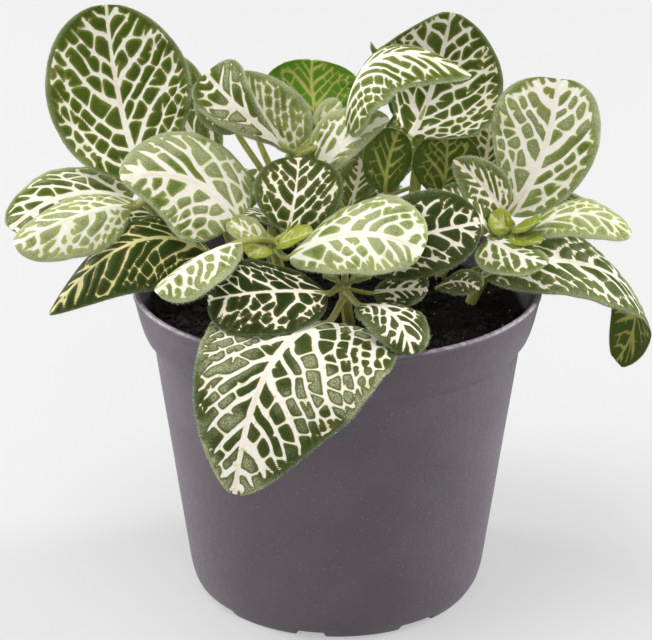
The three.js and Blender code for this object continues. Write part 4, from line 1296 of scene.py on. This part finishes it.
def pot_outline(height, rim):
    """The wall's closed section as radii and heights: up the outer face from the foot ring, round the
    rolled lip and down the inner face. The collar swells out of the wall and runs up, nearly upright, to
    the lip."""
    outer = np.array([
        (35.5, 3.2), (35.6, 0.9), (35.9, 0.25), (36.4, 0), (38.8, 0), (41.0, 0), (41.9, 0.3), (42.4, 0.9),
        (43.2, 2.2), (43.9, 3.6), (44.4, 5.4), (44.9, 8), (46.2, 18), (47.8, 30), (49.3, 42), (50.9, 54),
        (52.5, 66), (53.4, 73), (53.95, 77.4), (54.1, 78.6), (54.15, 79.0), (54.3, 79.3), (54.7, 79.7),
        (55.2, 80.5), (55.9, 81.4), (56.7, 82.4), (57.4, 84.2), (58.2, 87), (58.8, 89.6), (59.3, 92),
        (59.45, 93.2), (59.55, 93.6), (59.8, 93.9), (59.95, 94.4), (60.0, 95.0), (59.9, 95.6),
        (59.65, 95.9), (59.3, 96), (58.9, 95.95), (58.6, 95.7), (58.35, 95.2), (58.25, 94.2),
    ])
    inner_z = np.array([92, 89, 86, 83, 80.5, 79, 77, 66, 50, 34, 20, 10, 6, FLOOR_TOP])
    inner = np.stack([inner_radius(inner_z), inner_z], -1)
    foot = np.array([(41.2, 3.9), (40.0, 3.4), (37.0, 3.3)])
    outline = np.concatenate([outer, inner, foot])
    return outline * [rim / POT_RIM, height / POT_HEIGHT]


def build_pot(settings, material):
    """A section carried round the pot's axis. Where the foot ring has a gap its lowest part is lifted to
    the gap's height. The floor is a plate of equal sectors, one for each drain hole, whose grid runs out
    from the hole's edge to the sector's edge."""
    rim, height = settings.rim_radius / MM, settings.height / MM
    outline = pot_outline(height, rim)
    around = 384
    turn = np.arange(around) / around * 2 * np.pi
    degrees = (np.degrees(turn) + 90 + 180) % 360 - 180
    low = np.zeros(around)
    for start, end in FOOT_GAPS:
        middle, half = (start + end) / 2, (end - start) / 2
        away = np.abs((degrees - middle + 180) % 360 - 180)
        low = np.maximum(low, FOOT_GAP_HEIGHT * smooth_step(half + 0.8, half - 0.8, away))
    radius = outline[:, :1] + 0 * turn
    z = np.maximum(outline[:, 1:], low * (outline[:, 1:] < 3))
    skin = np.stack([radius * np.cos(turn), radius * np.sin(turn), z], -1)
    rows = len(outline)
    closing = grid_quads(2, around, wrap=True)
    closing = np.where(closing < around, closing + (rows - 1) * around, closing - around)
    heap = Heap()
    heap.add(skin, np.concatenate([grid_quads(rows, around, wrap=True), closing]))
    heap.add(*pot_floor())
    return heap.piece("plastic_pot", material, "pot_plastic")


def floor_sector():
    """One sector of the floor plate, seen from its drain hole's middle: the directions all round, the
    distance to the edge in each, and whether that edge is the plate's round rim. It lies at the least of
    the distances to the sector's two straight sides and to the rim."""
    half = np.pi / HOLES
    corner = np.array([FLOOR_RADIUS * np.cos(half), FLOOR_RADIUS * np.sin(half)]) - [HOLE_RING, 0]
    up_to = np.arctan2(corner[1], corner[0])
    upper = np.concatenate([np.linspace(0, up_to, 9)[:-1], np.linspace(up_to, np.pi, 17)])
    phi = np.concatenate([-upper[:0:-1], upper])[1:]
    ways = np.stack([np.cos(phi), np.sin(phi)], -1)
    toward_rim = HOLE_RING * ways[:, 0]
    to_rim = -toward_rim + np.sqrt(toward_rim ** 2 + FLOOR_RADIUS ** 2 - HOLE_RING ** 2)
    slope = np.maximum(np.abs(ways[:, 1]) * np.cos(half) - ways[:, 0] * np.sin(half), 1e-6)
    away = np.minimum(to_rim, HOLE_RING * np.sin(half) / slope)
    return ways, away, np.abs(away - to_rim) < 1e-6


def pot_floor():
    """The floor plate: for each sector an upper and a lower face, the wall of its drain hole and its part
    of the rim."""
    ways, away, on_rim = floor_sector()
    share = np.linspace(0, 1, 4)[:, None]
    distance = HOLE_RADIUS + (away - HOLE_RADIUS) * share
    flat = (ways * distance[..., None] + [HOLE_RING, 0]).reshape(-1, 2)
    count, rows = len(ways), len(share)
    layer = rows * count
    face = grid_quads(rows, count, wrap=True)
    hole = np.arange(count)
    beside = (hole + 1) % count
    rim, rim_beside = hole + layer - count, beside + layer - count
    outside = np.stack([rim, rim + layer, rim_beside + layer, rim_beside], -1)
    sector_quads = np.concatenate([
        face[:, ::-1],
        face + layer,
        np.stack([hole, beside, beside + layer, hole + layer], -1),
        outside[on_rim & np.roll(on_rim, -1)],
    ])
    points, quads = [], []
    for sector in range(HOLES):
        angle = (sector + 0.5) / HOLES * 2 * np.pi
        spin = np.array([[np.cos(angle), np.sin(angle)], [-np.sin(angle), np.cos(angle)]])
        for z in (FLOOR_TOP, FLOOR_LOW):
            points.append(np.column_stack([flat @ spin, np.full(len(flat), z)]))
        quads.append(sector_quads + sector * 2 * layer)
    return np.concatenate(points), np.concatenate(quads)


# The peat

def peat_height(x, y):
    """Height of the peat: it climbs to the left front and is lumpy."""
    slope = PEAT_TILT * (-0.8 * x - 0.6 * y) / POT_RIM
    lumps = 0.7 * np.sin(x * 0.19 + 1.2) * np.cos(y * 0.17) + 0.5 * np.sin(x * 0.37 - y * 0.31)
    return PEAT_LEVEL + slope + lumps


def peat_top(x, y):
    """The peat with its relief: coarse clods and fine crumbs, each the sum of eased random heights."""
    clods = lattice_noise(x, y, 6.0, CLOD_SEEDS[0]) * 0.9
    clods = clods + lattice_noise(x, y, 2.7, CLOD_SEEDS[1]) * 0.7
    crumbs = lattice_noise(x, y, 1.2, CRUMB_SEEDS[0]) * 0.35
    crumbs = crumbs + lattice_noise(x + 0.5 * y, y, 0.7, CRUMB_SEEDS[1]) * 0.2
    return peat_height(x, y) + clods + crumbs


def build_peat(material):
    """The filling: a grid of rings and spokes for the top, then the side down the pot and the flat
    bottom."""
    top_radius = inner_radius(PEAT_RADIUS_HEIGHT) - PEAT_GAP
    spokes, rings = 260, 80
    turn = np.arange(spokes) / spokes * 2 * np.pi
    radii = top_radius * (np.arange(rings) + 1) / rings
    x, y = radii[:, None] * np.cos(turn), radii[:, None] * np.sin(turn)
    top = np.stack([x, y, peat_top(x, y)], -1)
    sides_z = np.array([80.0, 60.0, 30.0, WALL_BOTTOM, FLOOR_TOP + PEAT_GAP])
    sides_r = inner_radius(sides_z) - PEAT_GAP - 0.2
    sides_x, sides_y = sides_r[:, None] * np.cos(turn), sides_r[:, None] * np.sin(turn)
    sides = np.stack([sides_x, sides_y, np.broadcast_to(sides_z[:, None], sides_x.shape)], -1)
    rows = rings + len(sides_z)
    centres = [[0, 0, float(peat_top(0.0, 0.0))], [0, 0, sides_z[-1]]]
    points = np.concatenate([top.reshape(-1, 3), sides.reshape(-1, 3), centres])
    here = np.arange(spokes)
    beside = (here + 1) % spokes
    middle = np.full(spokes, rows * spokes)
    last = (rows - 1) * spokes
    triangles = np.concatenate([
        np.stack([middle, here, beside], -1),
        np.stack([middle + 1, last + beside, last + here], -1),
    ])
    heap = Heap()
    heap.add(points, grid_quads(rows, spokes, wrap=True)[:, ::-1], triangles, crumb=np.zeros(3))
    return heap.piece("peat_filling", material, "peat")


def crumb_shape():
    """The twelve corners and twenty faces of an icosahedron, the start of every crumb."""
    g = (1 + 5 ** 0.5) / 2
    corners = [(-1, g, 0), (1, g, 0), (-1, -g, 0), (1, -g, 0), (0, -1, g), (0, 1, g),
               (0, -1, -g), (0, 1, -g), (g, 0, -1), (g, 0, 1), (-g, 0, -1), (-g, 0, 1)]
    faces = [(0, 11, 5), (0, 5, 1), (0, 1, 7), (0, 7, 10), (0, 10, 11), (1, 5, 9), (5, 11, 4),
             (11, 10, 2), (10, 7, 6), (7, 1, 8), (3, 9, 4), (3, 4, 2), (3, 2, 6), (3, 6, 8),
             (3, 8, 9), (4, 9, 5), (2, 4, 11), (6, 2, 10), (8, 6, 7), (9, 8, 1)]
    return unit(np.array(corners, float)), np.array(faces)


def build_crumbs(settings, material):
    """Loose crumbs and white grains: icosahedra with shaken corners, stretched and half sunk in the
    peat."""
    random = np.random.default_rng(settings.seed)
    corners, faces = crumb_shape()
    count = settings.crumbs
    limit = inner_radius(PEAT_RADIUS_HEIGHT) - PEAT_GAP - 1.6
    reach = limit * np.sqrt(random.uniform(0, 1, count))
    turn = random.uniform(0, 2 * np.pi, count)
    x, y = reach * np.cos(turn), reach * np.sin(turn)
    white = random.uniform(0, 1, count) < WHITE_SHARE
    size = np.clip(random.lognormal(-0.55, 0.5, count), *CRUMB_SIZES)
    size = np.where(white, np.clip(size * 0.6, *WHITE_SIZES), size)
    centres = np.stack([x, y, peat_top(x, y) + size * 0.25], -1)
    shape = corners[None] * random.uniform(0.65, 1.25, (count, 12, 1))
    shape = shape * random.uniform(0.6, 1.2, (count, 1, 3)) * size[:, None, None]
    points = centres[:, None] + shape
    triangles = np.arange(count)[:, None, None] * 12 + faces
    tint = np.stack([random.uniform(-0.3, 0.45, count), white, 0 * x], -1)
    heap = Heap()
    heap.add(points, triangles=triangles, crumb=np.repeat(tint, 12, 0))
    add_fibres(heap, settings.fibres, limit, random)
    return heap.piece("peat_crumbs", material, "peat")


def add_fibres(heap, count, limit, random):
    """Short thin tubes that lie bent on the peat, thickest at one end."""
    for _ in range(count):
        spot = random.normal(0, limit * 0.5, 2)
        if np.hypot(*spot) > limit - 4:
            continue
        bend = random.uniform(-1.1, 1.1)
        heading = random.uniform(0, 2 * np.pi) + bend * np.linspace(-1, 1, 6)
        step = random.uniform(0.6, 1.5)
        plan = spot + np.cumsum(np.stack([np.cos(heading), np.sin(heading)], -1) * step, 0)
        lift = peat_top(plan[:, 0], plan[:, 1]) + random.uniform(0.1, 0.5)
        path = np.column_stack([plan, lift])
        radii = np.linspace(random.uniform(0.1, 0.22), 0.05, 6)
        heap.add(*tube(path, radii, 3), crumb=np.array([random.uniform(0.1, 0.7), 0, 0]))


# The stage

# The view of the photograph: the point looked at, and the lens and sensor that give its frame
VIEW_TARGET = Vector((-0.00328, 0.0, 0.08313))
SENSOR_WIDTH = 36.0
LENS = 121.47
CLIP_START = 0.05

# The lamps: name, place, diameter, the setting that their power is measured in, and how many times it
LAMPS = [
    ("overhead", (-0.5, -0.3, 2.4), 1.8, "key", 2.6),
    ("left", (-2.0, -0.7, 1.2), 1.0, "key", 0.9),
    ("right", (1.9, 0.6, 0.55), 0.8, "fill", 22.0),
    ("left_edge", (-1.9, 0.8, 0.5), 0.8, "fill", 22.0),
    ("front", (0.4, -2.2, 1.1), 1.4, "fill", 4.5),
]
LAMP_TARGET = Vector((0.0, 0.0, 0.09))


def add_floor(scene, settings):
    """A square at the height of the pot's feet."""
    half = settings.floor_size / 2
    corners = [(-half, -half, 0), (half, -half, 0), (half, half, 0), (-half, half, 0)]
    mesh = bpy.data.meshes.new("floor")
    mesh.from_pydata(corners, [], [(0, 1, 2, 3)])
    mesh.materials.append(floor_finish(settings))
    floor = bpy.data.objects.new("floor", mesh)
    scene.collection.objects.link(floor)


def add_camera(scene, settings):
    """The camera, in front of the plant and looking down at it by the stated angle."""
    slope = settings.camera_height
    toward = Vector((0.0, -np.cos(slope), np.sin(slope)))
    camera = bpy.data.objects.new("camera", bpy.data.cameras.new("camera"))
    camera.data.sensor_width = SENSOR_WIDTH
    camera.data.lens = LENS
    camera.data.clip_start = CLIP_START
    camera.location = VIEW_TARGET + toward * settings.camera_distance
    camera.rotation_euler = (np.pi / 2 - slope, 0.0, 0.0)
    scene.collection.objects.link(camera)
    scene.camera = camera


def add_lamps(scene, settings):
    """Round soft lamps, all turned to the middle of the plant."""
    for name, place, diameter, setting, times in LAMPS:
        lamp = bpy.data.lights.new(name, "AREA")
        lamp.shape = "DISK"
        lamp.size = diameter
        lamp.energy = getattr(settings, setting) * times
        holder = bpy.data.objects.new(name, lamp)
        holder.location = place
        aim = LAMP_TARGET - Vector(place)
        holder.rotation_euler = aim.to_track_quat("-Z", "Y").to_euler()
        scene.collection.objects.link(holder)


def light_sky(scene, settings):
    """White light of the same strength from all round."""
    world = scene.world or bpy.data.worlds.new("studio")
    scene.world = world
    world.use_nodes = True
    sky = world.node_tree.nodes["Background"]
    sky.inputs["Color"].default_value = (1.0, 1.0, 1.0, 1.0)
    sky.inputs["Strength"].default_value = settings.sky


# Operators and panel

def plant_settings(context):
    """The settings that the scene keeps."""
    return context.scene.nerve_plant


def numbered_leaves():
    """Each shoot with its leaves, and each leaf with the number that its own random choices start from."""
    for place, shoot in enumerate(SHOOTS):
        yield shoot, [(place * NUMBERS_PER_SHOOT + i, leaf) for i, leaf in enumerate(shoot.leaves)]


class NERVEPLANT_OT_leaves(bpy.types.Operator):
    """Add the leaf blades of every stem"""

    bl_idname = "nerve_plant.leaves"
    bl_label = "Add Leaf Blades"

    def execute(self, context):
        settings = plant_settings(context).leaf
        material = leaf_finish(settings)
        for shoot, leaves in numbered_leaves():
            heap = Heap()
            for number, leaf in leaves:
                add_blade(heap, leaf, number, settings)
            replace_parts(heap.piece(shoot.node + "_blades", material, "leaf"), shoot.node)
        return {"FINISHED"}


class NERVEPLANT_OT_stalks(bpy.types.Operator):
    """Add the stems and the leaf stalks"""

    bl_idname = "nerve_plant.stalks"
    bl_label = "Add Stems and Stalks"

    def execute(self, context):
        settings = plant_settings(context).leaf
        material = stalk_finish(settings)
        for shoot in SHOOTS:
            heap = Heap()
            heap.add(*tube(*stem_path(shoot), STEM_SIDES))
            for leaf in shoot.leaves:
                heap.add(*tube(*stalk_path(leaf, shoot), STALK_SIDES))
            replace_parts(heap.piece(shoot.node + "_stalks", material, "leaf"), shoot.node)
        return {"FINISHED"}


class NERVEPLANT_OT_hairs(bpy.types.Operator):
    """Add the down along the leaf margins and round the stems"""

    bl_idname = "nerve_plant.hairs"
    bl_label = "Add Down"

    def execute(self, context):
        settings = plant_settings(context).leaf
        material = hair_finish()
        random = np.random.default_rng(HAIR_SEED)
        for shoot, leaves in numbered_leaves():
            heap = Heap()
            stem_hairs(heap, *stem_path(shoot), settings, random)
            for number, leaf in leaves:
                margin_hairs(heap, leaf, number, settings, random)
                stem_hairs(heap, *stalk_path(leaf, shoot), settings, random)
            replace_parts(heap.piece(shoot.node + "_down", material, "leaf"), shoot.node)
        return {"FINISHED"}


class NERVEPLANT_OT_pot(bpy.types.Operator):
    """Add the pot"""

    bl_idname = "nerve_plant.pot"
    bl_label = "Add Pot"

    def execute(self, context):
        settings = plant_settings(context).pot
        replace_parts(build_pot(settings, pot_finish(settings)), "pot")
        return {"FINISHED"}


class NERVEPLANT_OT_peat(bpy.types.Operator):
    """Add the peat with its crumbs and fibres"""

    bl_idname = "nerve_plant.peat"
    bl_label = "Add Peat"

    def execute(self, context):
        settings = plant_settings(context).peat
        material = peat_finish(settings)
        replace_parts(build_peat(material), "soil")
        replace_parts(build_crumbs(settings, material), "soil")
        return {"FINISHED"}


class NERVEPLANT_OT_stage(bpy.types.Operator):
    """Add the floor, the camera and the lights"""

    bl_idname = "nerve_plant.stage"
    bl_label = "Add Stage"

    def execute(self, context):
        settings = plant_settings(context).stage
        add_floor(context.scene, settings)
        add_camera(context.scene, settings)
        add_lamps(context.scene, settings)
        light_sky(context.scene, settings)
        context.scene.view_settings.view_transform = "Standard"
        return {"FINISHED"}


class NervePlantSettings(bpy.types.PropertyGroup):
    """All settings of the plant and its stage."""

    leaf: PointerProperty(type=LeafSettings, name="Leaves", description="Leaves, stalks and down")
    peat: PointerProperty(type=PeatSettings, name="Peat", description="The filling of the pot")
    pot: PointerProperty(type=PotSettings, name="Pot", description="The plastic pot")
    stage: PointerProperty(type=StageSettings, name="Stage", description="Floor, camera and lights")


class NERVEPLANT_PT_panel(bpy.types.Panel):
    """Lists the operators and their settings in the sidebar"""

    bl_label = "Nerve Plant"
    bl_idname = "NERVEPLANT_PT_panel"
    bl_space_type = "VIEW_3D"
    bl_region_type = "UI"
    bl_category = "Nerve Plant"

    def draw(self, context):
        settings = plant_settings(context)
        groups = [
            (settings.pot, ["pot"]),
            (settings.peat, ["peat"]),
            (settings.leaf, ["stalks", "leaves", "hairs"]),
            (settings.stage, ["stage"]),
        ]
        for group, operators in groups:
            box = self.layout.box()
            for operator in operators:
                box.operator("nerve_plant." + operator)
            for name in group.__annotations__:
                box.prop(group, name)


CLASSES = (
    LeafSettings,
    PeatSettings,
    PotSettings,
    StageSettings,
    NervePlantSettings,
    NERVEPLANT_OT_leaves,
    NERVEPLANT_OT_stalks,
    NERVEPLANT_OT_hairs,
    NERVEPLANT_OT_pot,
    NERVEPLANT_OT_peat,
    NERVEPLANT_OT_stage,
    NERVEPLANT_PT_panel,
)


def register():
    """Registers the classes and gives the scene its settings."""
    for item in CLASSES:
        bpy.utils.register_class(item)
    bpy.types.Scene.nerve_plant = PointerProperty(type=NervePlantSettings)


def unregister():
    """Takes the settings and the classes away again."""
    del bpy.types.Scene.nerve_plant
    for item in reversed(CLASSES):
        bpy.utils.unregister_class(item)


def main():
    register()
    bpy.ops.nerve_plant.pot()
    bpy.ops.nerve_plant.peat()
    bpy.ops.nerve_plant.stalks()
    bpy.ops.nerve_plant.leaves()
    bpy.ops.nerve_plant.hairs()
    bpy.ops.nerve_plant.stage()
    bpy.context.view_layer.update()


if __name__ == "__main__":
    main()
